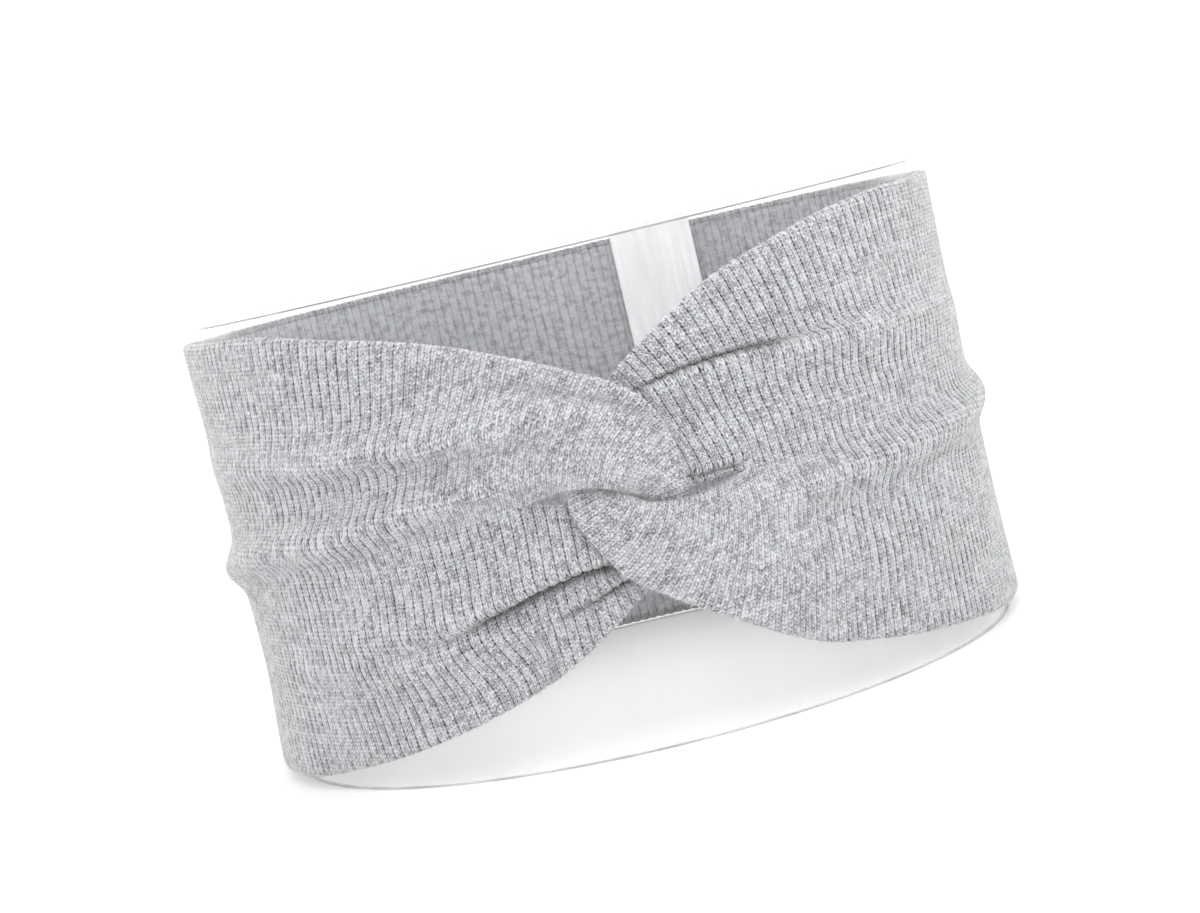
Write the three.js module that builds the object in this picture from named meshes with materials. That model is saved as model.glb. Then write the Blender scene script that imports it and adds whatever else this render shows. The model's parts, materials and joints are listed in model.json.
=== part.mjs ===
// A rib-knit headband with a hooked twist at its front, held open on a clear film ring.
//
// Millimetres, +Z up. The twist faces -Y and the origin is the middle of the bottom of the
// whole object's box. The knit is charted on a cylinder: s is the arc length from the front,
// positive towards +X, z the height above the ring's middle, and lift the distance of the
// knit's middle surface from the outside of the ring.

import * as THREE from 'three';

// Driving dimensions of the ring and its tape

const RING_RADIUS = 86;
const RING_HEIGHT = 107;
const RING_WALL = 0.8;
const RING_SIDES = 72;
const FACE_GAP = 0.3;
const TAPE_THICKNESS = 0.5;
const TAPE_FROM_DEG = 10.4;
const TAPE_TO_DEG = 25.6;
const TAPE_MARGIN = 0.6;
const TAPE_LENGTH = 52;
const TAPE_SEGMENTS = 6;

// Driving dimensions of the knit: two layers of rib, 2.3 mm together. RUN_STEP and TURN_STEP
// are the lengths of the grid's steps along the run and round the loop, EDGE_ROW is the place of
// its outermost row, and LEAN_LINEAR is the straight share of the ribs' lean across a side.
// BLEND_FROM and BLEND_SPAN are the part of the loop over which the upper side's rows of the
// grid pass into the lower side's.

const KNIT_THICKNESS = 2.3;
const CHART_RADIUS = 89;
const SEAM = Math.PI * CHART_RADIUS;
const LOWEST_LIFT = 1.5;
const EDGE_ROW = 0.3;
const RUN_STEP = 10.5;
const TURN_STEP = 3.2;
const NARROWEST_FOLD = 2.2;
const FOLD_SPACING = 1.6;
const LEAN_LINEAR = 0.35;
const BLEND_FROM = 0.35;
const BLEND_SPAN = 0.3;

const RUN_COLUMNS = 's z top_s top_z low_s low_z lift top_mid top_lift low_mid low_lift';
const LOOP_COLUMNS = 'in_s in_z out_s out_z in_lift mid_lift out_lift';
const FOLD_COLUMNS = 'row across height in_width out_width';

/** Turns rows of numbers into rows with named columns. */
function table(columns, rows) {
  const names = columns.split(' ');
  return rows.map((row) => Object.fromEntries(names.map((name, i) => [name, row[i]])));
}

// The left end of the band. Its run goes from the seam at the back round the left side to the
// tip of its slit, and its loop from there over the right end, down behind it and back.

const LEFT_RUN = table(RUN_COLUMNS, [
  [-SEAM, 0, -SEAM, 50.3, -SEAM, -53.1, 1.5, 1.5, 1.5, 1.5, 1.5],
  [-220, 0, -220, 50.3, -220, -52.7, 1.5, 1.5, 1.5, 1.5, 1.5],
  [-160, 0, -159, 50.3, -159, -51.6, 1.8, 1.8, 2.4, 1.7, 2.6],
  [-125, 0.2, -122, 50.3, -122, -50.9, 2.4, 2.5, 3.0, 2.1, 3.4],
  [-101, 0.2, -98, 50.0, -98, -50.6, 1.8, 1.9, 2.4, 1.7, 2.6],
  [-81, 0.2, -76, 49.0, -77, -48.1, 1.5, 1.6, 1.8, 1.5, 1.7],
  [-62, 0.2, -56, 45.6, -58, -45.1, 1.5, 1.7, 1.7, 1.5, 1.6],
  [-47, 0.4, -38.7, 42.2, -43, -41.6, 1.7, 2.2, 2.0, 1.6, 1.6],
  [-36, 0.9, -26.2, 38.7, -31.7, -38.3, 2.0, 3.0, 2.6, 1.7, 1.6],
  [-26.8, 1.9, -16.5, 34.9, -23.9, -35.5, 2.4, 4.0, 3.4, 1.8, 1.7],
  [-19.3, 3.1, -8.4, 31.4, -17.8, -32.9, 2.9, 5.2, 4.4, 1.8, 1.7],
]);

const LEFT_LOOP = table(LOOP_COLUMNS, [
  [-13.6, 4.2, -2.0, 28.2, 4.2, 6.4, 5.5],
  [-8.1, 4.6, 4.1, 25.0, 5.8, 7.6, 6.4],
  [-3.3, 4.1, 9.4, 20.6, 6.9, 8.2, 6.9],
  [0.5, 2.8, 12.6, 15.7, 7.0, 8.2, 6.9],
  [3.2, 1.4, 14.4, 9.7, 5.8, 7.3, 6.4],
  [5.4, -0.4, 15.4, 3.4, 4.2, 5.4, 5.2],
  [6.9, -2.7, 15.3, -3.5, 2.8, 3.1, 3.1],
  [7.0, -5.2, 13.2, -9.9, 2.0, 2.0, 2.0],
  [4.5, -6.6, 8.9, -15.2, 1.7, 1.7, 1.7],
  [0.5, -6.0, 3.6, -19.2, 1.6, 1.6, 1.6],
  [-4.0, -2.6, -1.6, -22.8, 1.6, 1.6, 1.6],
  [-8.5, 0.7, -7.1, -26.8, 1.7, 1.7, 1.7],
  [-14.0, 2.4, -12.7, -30.2, 2.2, 1.8, 1.7],
]);

// The right end, listed the same way: its run starts at the same seam, and its loop is hidden
// behind the left one first, comes out at the left and ends at the front below its slit.

const RIGHT_RUN = table(RUN_COLUMNS, [
  [SEAM, 0, SEAM, 50.3, SEAM, -53.1, 1.5, 1.5, 1.5, 1.5, 1.5],
  [220, 0, 220, 50.3, 220, -52.7, 1.5, 1.5, 1.5, 1.5, 1.5],
  [160, 0, 159, 50.3, 159, -51.6, 1.5, 1.5, 1.8, 1.5, 1.8],
  [125, -0.2, 123, 50.2, 123, -50.3, 1.5, 1.5, 2.0, 1.5, 2.0],
  [101, -0.4, 99, 49.9, 99, -49.6, 1.5, 1.5, 1.8, 1.5, 1.8],
  [82.6, -0.4, 79.9, 49.4, 80.9, -47.9, 1.5, 1.5, 1.6, 1.6, 1.6],
  [66.4, -0.3, 60.5, 47.5, 63.6, -45.8, 1.5, 1.5, 1.5, 1.8, 1.6],
  [53.2, -0.1, 45.0, 44.2, 49.5, -43.1, 1.6, 1.6, 1.5, 2.2, 1.8],
  [43.0, 0, 33.7, 41.2, 38.6, -40.5, 1.9, 1.7, 1.6, 3.0, 2.3],
  [34.8, 0, 25.5, 37.8, 29.7, -36.4, 2.4, 1.8, 1.6, 4.0, 3.1],
  [28.2, -0.2, 17.8, 33.5, 21.9, -31.8, 3.0, 1.9, 1.7, 5.2, 4.2],
]);

const RIGHT_LOOP = table(LOOP_COLUMNS, [
  [23.0, -0.5, 11.7, 29.8, 2.2, 1.8, 1.7],
  [17.6, -0.9, 7.1, 26.6, 1.7, 1.7, 1.6],
  [12.0, 0.9, 2.0, 22.9, 1.6, 1.6, 1.6],
  [7.0, 4.6, -2.6, 19.3, 1.6, 1.6, 1.6],
  [2.6, 7.4, -6.5, 14.1, 1.7, 1.7, 1.7],
  [-0.6, 6.8, -8.7, 8.5, 2.0, 2.0, 2.0],
  [-1.0, 4.5, -9.2, 3.2, 2.8, 3.1, 3.1],
  [0.6, 2.4, -8.6, -1.4, 4.2, 5.4, 5.2],
  [2.9, 1.1, -6.7, -5.6, 5.8, 7.3, 6.4],
  [5.8, -0.8, -4.2, -10.4, 7.0, 8.2, 6.9],
  [9.9, -1.9, -0.8, -15.5, 6.9, 8.2, 6.9],
  [15.2, -2.4, 4.5, -20.0, 5.8, 7.6, 6.4],
  [21.9, -1.9, 12.4, -25.6, 4.2, 6.4, 5.5],
]);

// Folds. row counts the rows of the run and then of the loop, from the seam. across is the
// place of the crest from the middle line (0) to the edge (1). in_width and out_width are the
// reach of the fold towards the middle line and towards the edge.

const LEFT_TOP_FOLDS = [
  table(FOLD_COLUMNS, [
    [0, 0.0, 0, 5, 5],
    [1.6, -0.06, 0.8, 5, 5],
    [3.1, -0.06, 3.5, 3.8, 4.5],
    [4, 0.005, 3.7, 3.5, 4],
    [6, 0.075, 4.0, 3.5, 4.2],
    [7.5, 0.165, 3.8, 3.8, 4],
    [9.7, 0.21, 3.0, 4, 4],
    [11.4, 0.235, 1.6, 4, 4.5],
    [13.2, 0.325, 0.5, 4, 4],
    [14.6, 0.45, 0, 4, 4],
  ]),
  table(FOLD_COLUMNS, [
    [2, 0.4, 0, 4, 6],
    [4, 0.4, 1.2, 3.4, 6],
    [6, 0.435, 3.2, 2.8, 5],
    [7.3, 0.48, 3.9, 2.6, 4.6],
    [9.3, 0.56, 3.4, 2.6, 4.6],
    [10.7, 0.64, 2.2, 3, 4],
    [12.2, 0.7, 1.2, 3, 3],
    [14, 0.76, 0, 3, 3],
  ]),
  table(FOLD_COLUMNS, [
    [7.5, 0.82, 0, 3, 2],
    [9.5, 0.82, -0.8, 2.6, 2],
    [11, 0.815, -1.5, 2.2, 1.8],
    [12.6, 0.85, -1.8, 2, 1.6],
    [14.1, 0.9, -1.8, 1.8, 1.4],
    [15.1, 0.9, -0.9, 1.8, 1.4],
    [16, 0.94, 0, 1.8, 1.4],
  ]),
];

const LEFT_LOW_FOLDS = [
  table(FOLD_COLUMNS, [
    [4.5, -0.42, 0, 6, 4],
    [6, -0.44, 1.6, 6, 2.5],
    [7.5, -0.455, 3.0, 5.5, 1.2],
    [9.1, -0.44, 3.2, 6, 0.9],
    [11.6, -0.42, 2.9, 6, 0.8],
    [12.8, -0.4, 2.2, 5, 0.8],
    [14, -0.38, 0.3, 4, 0.8],
    [14.6, -0.38, 0, 4, 0.8],
  ]),
  table(FOLD_COLUMNS, [
    [9.6, -0.67, 0, 4, 1.5],
    [11, -0.67, 1.1, 3.6, 0.9],
    [12.5, -0.635, 1.9, 3.2, 0.7],
    [13.4, -0.61, 1.5, 3, 0.7],
    [14.4, -0.6, 0, 3, 0.7],
  ]),
  table(FOLD_COLUMNS, [
    [3.5, -0.5, 0, 3, 6],
    [5, -0.53, 1.0, 3, 6],
    [6.5, -0.58, 1.6, 3, 5],
    [8, -0.62, 1.0, 3, 5],
    [9.5, -0.65, 0, 3, 5],
  ]),
];

const RIGHT_TOP_FOLDS = [
  table(FOLD_COLUMNS, [
    [2.2, 0.33, 0, 5, 5],
    [4.7, 0.4, 1.5, 5, 4.5],
    [6.2, 0.455, 2.6, 4.5, 3.2],
    [7.9, 0.535, 2.7, 4.5, 1.6],
    [9, 0.6, 2.4, 4.5, 0.9],
    [10.4, 0.69, 2.0, 4, 0.8],
    [11.6, 0.75, 1.6, 3.5, 0.8],
    [13, 0.8, 0, 3, 0.8],
  ]),
  table(FOLD_COLUMNS, [
    [4, 0.17, 0, 3, 3],
    [6, 0.17, 0.6, 3.5, 3.5],
    [8, 0.2, 0.9, 3.5, 3.5],
    [10, 0.24, 0.5, 3.5, 3.5],
    [11.5, 0.3, 0, 3, 3],
  ]),
];

const RIGHT_LOW_FOLDS = [
  table(FOLD_COLUMNS, [
    [0, 0.0, 0, 5, 5],
    [1.6, -0.01, 0.6, 5, 5],
    [3, -0.04, 3.0, 3.8, 4.5],
    [5, -0.105, 3.6, 4, 4.5],
    [6.3, -0.135, 3.7, 4, 4.5],
    [8.2, -0.17, 3.1, 4, 4.5],
    [9.6, -0.205, 2.1, 4, 5],
    [11.2, -0.22, 0.8, 4, 5],
    [13, -0.34, 0, 4, 4],
  ]),
  table(FOLD_COLUMNS, [
    [5, -0.6, 0, 8, 7],
    [7.5, -0.62, 1.0, 8, 7],
    [9.5, -0.66, 0.9, 7, 6],
    [12, -0.7, 0, 5, 5],
  ]),
];

// Rows of the grid between the guides, which are the middle line, the crests of the named
// folds and the edge. The last rows of each side round the edge off.

const LEFT_TOP_GUIDES = [2, 4, 3];
const LEFT_LOW_GUIDES = [4, 3, 2];
const RIGHT_TOP_GUIDES = [4, 5];
const RIGHT_LOW_GUIDES = [3, 6];

/** A smooth step from 0 to 1. */
function smoothStep(x) {
  const t = THREE.MathUtils.clamp(x, 0, 1);
  return t * t * (3 - 2 * t);
}

/** Slopes of a smooth curve through values at uneven knots. */
function slopes(knots, values) {
  const last = knots.length - 1;
  const secant = (i) => (values[i + 1] - values[i]) / (knots[i + 1] - knots[i]);
  return knots.map((knot, i) => {
    if (i === 0) return secant(0);
    if (i === last) return secant(last - 1);
    const before = knots[i] - knots[i - 1];
    const after = knots[i + 1] - knots[i];
    return (secant(i - 1) * after + secant(i) * before) / (before + after);
  });
}

/** The value at x of the smooth curve through values at knots, held level past its ends. */
function smoothCurve(knots, values) {
  const slope = slopes(knots, values);
  const last = knots.length - 1;
  return (x) => {
    if (x <= knots[0]) return values[0];
    if (x >= knots[last]) return values[last];
    let i = 0;
    while (x > knots[i + 1]) i += 1;
    const span = knots[i + 1] - knots[i];
    const u = (x - knots[i]) / span;
    const rise = u * u * (3 - 2 * u);
    const start = values[i] * (1 - rise) + values[i + 1] * rise;
    return start + span * u * (1 - u) * (slope[i] * (1 - u) - slope[i + 1] * u);
  };
}

/** One smooth curve for each named column of a table, over the given knots. */
function columnCurves(rows, knots) {
  const names = Object.keys(rows[0]);
  return Object.fromEntries(names.map((name) => [name, smoothCurve(knots, rows.map((row) => row[name]))]));
}

/** The sections of one end of the band: along the top, round its loop and back below. */
function sectionRows(run, loop) {
  const top = run.map((row) => ({
    in_s: row.s, in_z: row.z, out_s: row.top_s, out_z: row.top_z,
    in_lift: row.lift, mid_lift: row.top_mid, out_lift: row.top_lift,
  }));
  const low = run.map((row) => ({
    in_s: row.s, in_z: row.z, out_s: row.low_s, out_z: row.low_z,
    in_lift: row.lift, mid_lift: row.low_mid, out_lift: row.low_lift,
  }));
  return [...top, ...loop, ...low.reverse()];
}

/** The length along the middle of the strip at each section. */
function sectionKnots(sections) {
  const knots = [0];
  for (let i = 1; i < sections.length; i += 1) {
    const a = sections[i - 1];
    const b = sections[i];
    const ds = (b.in_s + b.out_s - a.in_s - a.out_s) / 2;
    const dz = (b.in_z + b.out_z - a.in_z - a.out_z) / 2;
    knots.push(knots[i - 1] + Math.hypot(ds, dz));
  }
  return knots;
}

/** Row numbers of the grid's stations: even steps within each section, the same both ways. */
function stationRows(run, loop) {
  const rows = [];
  const addSteps = (first, count) => {
    for (let i = 0; i < count; i += 1) rows.push(first + i / count);
  };
  const runSteps = run.slice(1).map((row, i) =>
    Math.max(1, Math.round(Math.abs(row.s - run[i].s) / RUN_STEP)));
  const tip = run.length - 1;
  const ends = [run[tip], ...loop, run[tip]];
  runSteps.forEach((count, i) => addSteps(i, count));
  for (let i = 0; i < ends.length - 1; i += 1) {
    const from = i === 0 ? [run[tip].top_s, run[tip].top_z] : [ends[i].out_s, ends[i].out_z];
    const to = i === loop.length ? [run[tip].low_s, run[tip].low_z] : [ends[i + 1].out_s, ends[i + 1].out_z];
    const length = Math.hypot(to[0] - from[0], to[1] - from[1]);
    addSteps(tip + i, Math.max(1, Math.round(length / TURN_STEP)));
  }
  [...runSteps].reverse().forEach((count, i) => addSteps(tip + loop.length + 1 + i, count));
  rows.push(2 * tip + loop.length + 1);
  return rows;
}

/** The lift that a fold adds at a signed place across the band, below the middle negative. */
function foldLift(fold, row, width, across, isTop) {
  const distance = (across - fold.across(row)) * width;
  const outward = isTop ? distance : -distance;
  const reach = Math.max(NARROWEST_FOLD, outward > 0 ? fold.out_width(row) : fold.in_width(row));
  return fold.height(row) * Math.exp(-((distance / reach) ** 2));
}

/** Places of the grid's rows across one side, from 0 at the middle line to 1 at the edge. */
function rowsAcross(folds, guides, row, width, edgeRows) {
  const crests = guides.slice(0, -1).map((_, i) => Math.abs(folds[i].across(row)));
  const stops = [0];
  for (const crest of crests) {
    stops.push(Math.max(crest, stops[stops.length - 1] + FOLD_SPACING * 2 / width));
  }
  stops.push(1 - edgeRows[edgeRows.length - 1] / width);
  for (let i = stops.length - 2; i > 0; i -= 1) {
    stops[i] = Math.min(stops[i], stops[i + 1] - FOLD_SPACING / width);
  }
  const places = [];
  guides.forEach((count, i) => {
    for (let j = 0; j < count; j += 1) {
      places.push(THREE.MathUtils.lerp(stops[i], stops[i + 1], j / count));
    }
  });
  for (const distance of [...edgeRows].reverse()) places.push(1 - distance / width);
  places.push(1);
  return places;
}

/** The chart place of every vertex of one end's middle surface, station by station. */
function chartEnd({ run, loop, topFolds, lowFolds, topGuides, lowGuides }) {
  const sections = sectionRows(run, loop);
  const knots = sectionKnots(sections);
  const curves = columnCurves(sections, knots);
  const lengthAtRow = smoothlyIndexed(knots);
  const lastRow = sections.length - 1;
  const tipRow = run.length - 1;
  const asCurves = (rows) => columnCurves(rows, rows.map((entry) => entry.row));
  const top = topFolds.map(asCurves);
  const low = lowFolds.map(asCurves);
  const edgeRows = [EDGE_ROW, KNIT_THICKNESS / 2];
  const rows = stationRows(run, loop);
  const stations = rows.map((row) => {
    const u = lengthAtRow(row);
    const at = Object.fromEntries(Object.entries(curves).map(([name, curve]) => [name, curve(u)]));
    const width = Math.hypot(at.out_s - at.in_s, at.out_z - at.in_z);
    const fromTop = row;
    const fromLow = lastRow - row;
    const lowShare = smoothStep((row - tipRow - loop.length * BLEND_FROM) / (loop.length * BLEND_SPAN));
    const topPlaces = rowsAcross(top, topGuides, fromTop, width, edgeRows);
    const lowPlaces = rowsAcross(low, lowGuides, fromLow, width, edgeRows);
    const open = row > tipRow && row < lastRow - tipRow;
    const isTop = row < lastRow / 2;
    const vertices = topPlaces.map((place, j) => {
      let across = THREE.MathUtils.lerp(place, lowPlaces[j], lowShare);
      if (open && j > 0 && j <= edgeRows.length) across = edgeRows[j - 1] / width;
      return chartPoint(at, across, width, { isTop, open, top, low, row: isTop ? fromTop : fromLow });
    });
    return { open, vertices };
  });
  return { stations, tip: rows.indexOf(tipRow) };
}

/** The length along the strip at a row number, in straight steps between rows. */
function smoothlyIndexed(knots) {
  return (row) => {
    const i = Math.min(Math.floor(row), knots.length - 2);
    return THREE.MathUtils.lerp(knots[i], knots[i + 1], row - i);
  };
}

/** One point of the middle surface on the chart, with the lift of the folds. */
function chartPoint(at, across, width, side) {
  const lean = LEAN_LINEAR * across + (1 - LEAN_LINEAR) * across * across;
  let lift = at.in_lift + (at.mid_lift - at.in_lift) * smoothStep(2 * across)
    + (at.out_lift - at.mid_lift) * smoothStep(2 * across - 1);
  const signed = side.isTop ? across : -across;
  for (const fold of side.isTop || !side.open ? side.top : []) {
    lift += foldLift(fold, side.row, width, signed, true);
  }
  for (const fold of !side.isTop || !side.open ? side.low : []) {
    lift += foldLift(fold, side.row, width, signed, false);
  }
  return {
    s: at.in_s + (at.out_s - at.in_s) * lean,
    z: at.in_z + (at.out_z - at.in_z) * across,
    lift: Math.max(LOWEST_LIFT, lift),
    fromMiddle: across * width,
    fromEdge: (1 - across) * width,
  };
}

/** The point in space of a chart place, round the ring's axis. */
function chartToSpace({ s, z, lift }) {
  const radius = RING_RADIUS + lift;
  const angle = s / CHART_RADIUS;
  return new THREE.Vector3(radius * Math.sin(angle), -radius * Math.cos(angle), z + RING_HEIGHT / 2);
}

/** Half of the knit's thickness at a distance from a rounded edge. */
function halfThickness(distance) {
  const half = KNIT_THICKNESS / 2;
  if (distance >= half) return half;
  return half * Math.sqrt(Math.max(0, 1 - (1 - distance / half) ** 2));
}

/** Collects the welded vertices and the triangles of the knit's middle surface. */
class MiddleSurface {
  constructor() {
    this.points = [];
    this.halves = [];
    this.triangles = [];
    this.caps = [];
  }

  /** Adds a vertex: its chart place and half the thickness there. */
  addVertex(place, half) {
    this.points.push(chartToSpace(place));
    this.halves.push(half);
    return this.points.length - 1;
  }

  /** Adds one end of the band and welds it along the middle line and at the seam. */
  addEnd({ stations, tip }, flipped, seam) {
    const last = stations.length - 1;
    const ids = stations.map((station, k) => {
      const atSeam = k === 0 || k === last;
      return station.vertices.map((vertex, j) => {
        const mirrored = last - k;
        if (j === 0 && !station.open && mirrored < k) return null;
        if (atSeam && seam) return seam[k === 0 ? 'top' : 'low'][j];
        let place = vertex;
        if (j === 0 && !station.open) {
          const other = stations[mirrored].vertices[0];
          place = {
            s: (vertex.s + other.s) / 2, z: (vertex.z + other.z) / 2, lift: (vertex.lift + other.lift) / 2,
          };
        }
        const nearest = station.open ? Math.min(vertex.fromMiddle, vertex.fromEdge) : vertex.fromEdge;
        return this.addVertex(place, halfThickness(nearest));
      });
    });
    ids.forEach((column, k) => {
      if (column[0] === null) column[0] = ids[last - k][0];
    });
    for (let k = 0; k < last; k += 1) {
      for (let j = 0; j < ids[0].length - 1; j += 1) {
        this.addQuad([ids[k][j], ids[k + 1][j], ids[k + 1][j + 1], ids[k][j + 1]], flipped);
      }
    }
    this.caps.push({ tip: ids[tip][0], top: ids[tip + 1][0], low: ids[last - tip - 1][0], flipped });
    return { top: ids[0], low: ids[last] };
  }

  /** Adds a four-sided face as two triangles, turned over where asked. */
  addQuad([a, b, c, d], flipped) {
    const faces = [[a, b, c], [a, c, d]];
    for (const [p, q, r] of faces) this.triangles.push(flipped ? [p, r, q] : [p, q, r]);
  }

  /** The area-weighted normal at every vertex. */
  normals() {
    const geometry = new THREE.BufferGeometry().setFromPoints(this.points);
    geometry.setIndex(this.triangles.flat());
    geometry.computeVertexNormals();
    const attribute = geometry.getAttribute('normal');
    return this.points.map((point, i) => new THREE.Vector3().fromBufferAttribute(attribute, i));
  }

  /** The closed shell: an outer and an inner sheet that meet at the rounded edges. */
  toSolid() {
    const normals = this.normals();
    const points = [];
    const outer = [];
    const inner = [];
    this.points.forEach((point, i) => {
      const half = this.halves[i];
      outer.push(points.length);
      points.push(point.clone().addScaledVector(normals[i], half));
      if (half > 0) {
        inner.push(points.length);
        points.push(point.clone().addScaledVector(normals[i], -half));
      } else {
        inner.push(outer[i]);
      }
    });
    const faces = [];
    for (const [a, b, c] of this.triangles) {
      faces.push(outer[a], outer[b], outer[c], inner[a], inner[c], inner[b]);
    }
    for (const { tip, top, low, flipped } of this.caps) {
      const upper = [inner[tip], outer[top], outer[tip]];
      const lower = [outer[tip], outer[low], inner[tip]];
      for (const [a, b, c] of [upper, lower]) faces.push(...(flipped ? [a, c, b] : [a, b, c]));
    }
    const geometry = new THREE.BufferGeometry().setFromPoints(points);
    geometry.setIndex(faces);
    geometry.computeVertexNormals();
    return geometry;
  }
}

/** The knit band: both ends, hooked through each other at the front. */
function knitBand() {
  const surface = new MiddleSurface();
  const left = chartEnd({
    run: LEFT_RUN, loop: LEFT_LOOP,
    topFolds: LEFT_TOP_FOLDS, lowFolds: LEFT_LOW_FOLDS,
    topGuides: LEFT_TOP_GUIDES, lowGuides: LEFT_LOW_GUIDES,
  });
  const right = chartEnd({
    run: RIGHT_RUN, loop: RIGHT_LOOP,
    topFolds: RIGHT_TOP_FOLDS, lowFolds: RIGHT_LOW_FOLDS,
    topGuides: RIGHT_TOP_GUIDES, lowGuides: RIGHT_LOW_GUIDES,
  });
  const seam = surface.addEnd(left, false, null);
  surface.addEnd(right, true, seam);
  return surface.toSolid();
}

/** The plain film ring, a rectangle turned round the upright axis. */
function displayHoop() {
  const inside = RING_RADIUS - RING_WALL;
  const corners = [[inside, 0], [RING_RADIUS, 0], [RING_RADIUS, RING_HEIGHT], [inside, RING_HEIGHT], [inside, 0]];
  const profile = corners.map(([radius, height]) => new THREE.Vector2(radius, height));
  const geometry = new THREE.LatheGeometry(profile, RING_SIDES);
  geometry.rotateX(Math.PI / 2);
  return geometry;
}

/** The tape on the inside of the ring's upper half, beside the middle of the back. */
function joiningTape() {
  const outside = RING_RADIUS - RING_WALL - FACE_GAP;
  const inside = outside - TAPE_THICKNESS;
  const right = Math.PI / 2 - THREE.MathUtils.degToRad(TAPE_TO_DEG);
  const left = Math.PI / 2 - THREE.MathUtils.degToRad(TAPE_FROM_DEG);
  const outline = new THREE.Shape();
  outline.absarc(0, 0, outside, right, left, false);
  outline.absarc(0, 0, inside, left, right, true);
  outline.closePath();
  const geometry = new THREE.ExtrudeGeometry(outline, {
    depth: TAPE_LENGTH, bevelEnabled: false, curveSegments: TAPE_SEGMENTS,
  });
  geometry.translate(0, 0, RING_HEIGHT - TAPE_MARGIN - TAPE_LENGTH);
  return geometry;
}

/** A named mesh with its own material. */
function piece(name, geometry, finish) {
  const mesh = new THREE.Mesh(geometry, new THREE.MeshStandardMaterial(finish));
  mesh.name = name;
  return mesh;
}

const headband = new THREE.Group();
headband.add(
  piece('knit_band', knitBand(), { color: 0xc4c6ca, roughness: 0.95, metalness: 0 }),
  piece('display_hoop', displayHoop(), {
    color: 0xf4f6f7, roughness: 0.08, metalness: 0, transparent: true, opacity: 0.25,
  }),
  piece('joining_tape', joiningTape(), { color: 0xf2f3f4, roughness: 0.55, metalness: 0 }),
);

const bounds = new THREE.Box3().setFromObject(headband);
const middle = bounds.getCenter(new THREE.Vector3());
headband.position.set(-middle.x, -middle.y, -bounds.min.z);

export default headband;
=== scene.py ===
"""A rib-knit twist headband on a clear ring: the looks around its packed solids.

Metres, +Z up, the twist faces -Y. The knit is charted on a cylinder as in the part's source:
s is the arc length from the front, z the height above the ring's middle, and lift the distance
of the knit's middle surface from the outside of the ring. The tables are in millimetres.
"""

import json
import logging
import math
from dataclasses import dataclass
from enum import Enum

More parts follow.
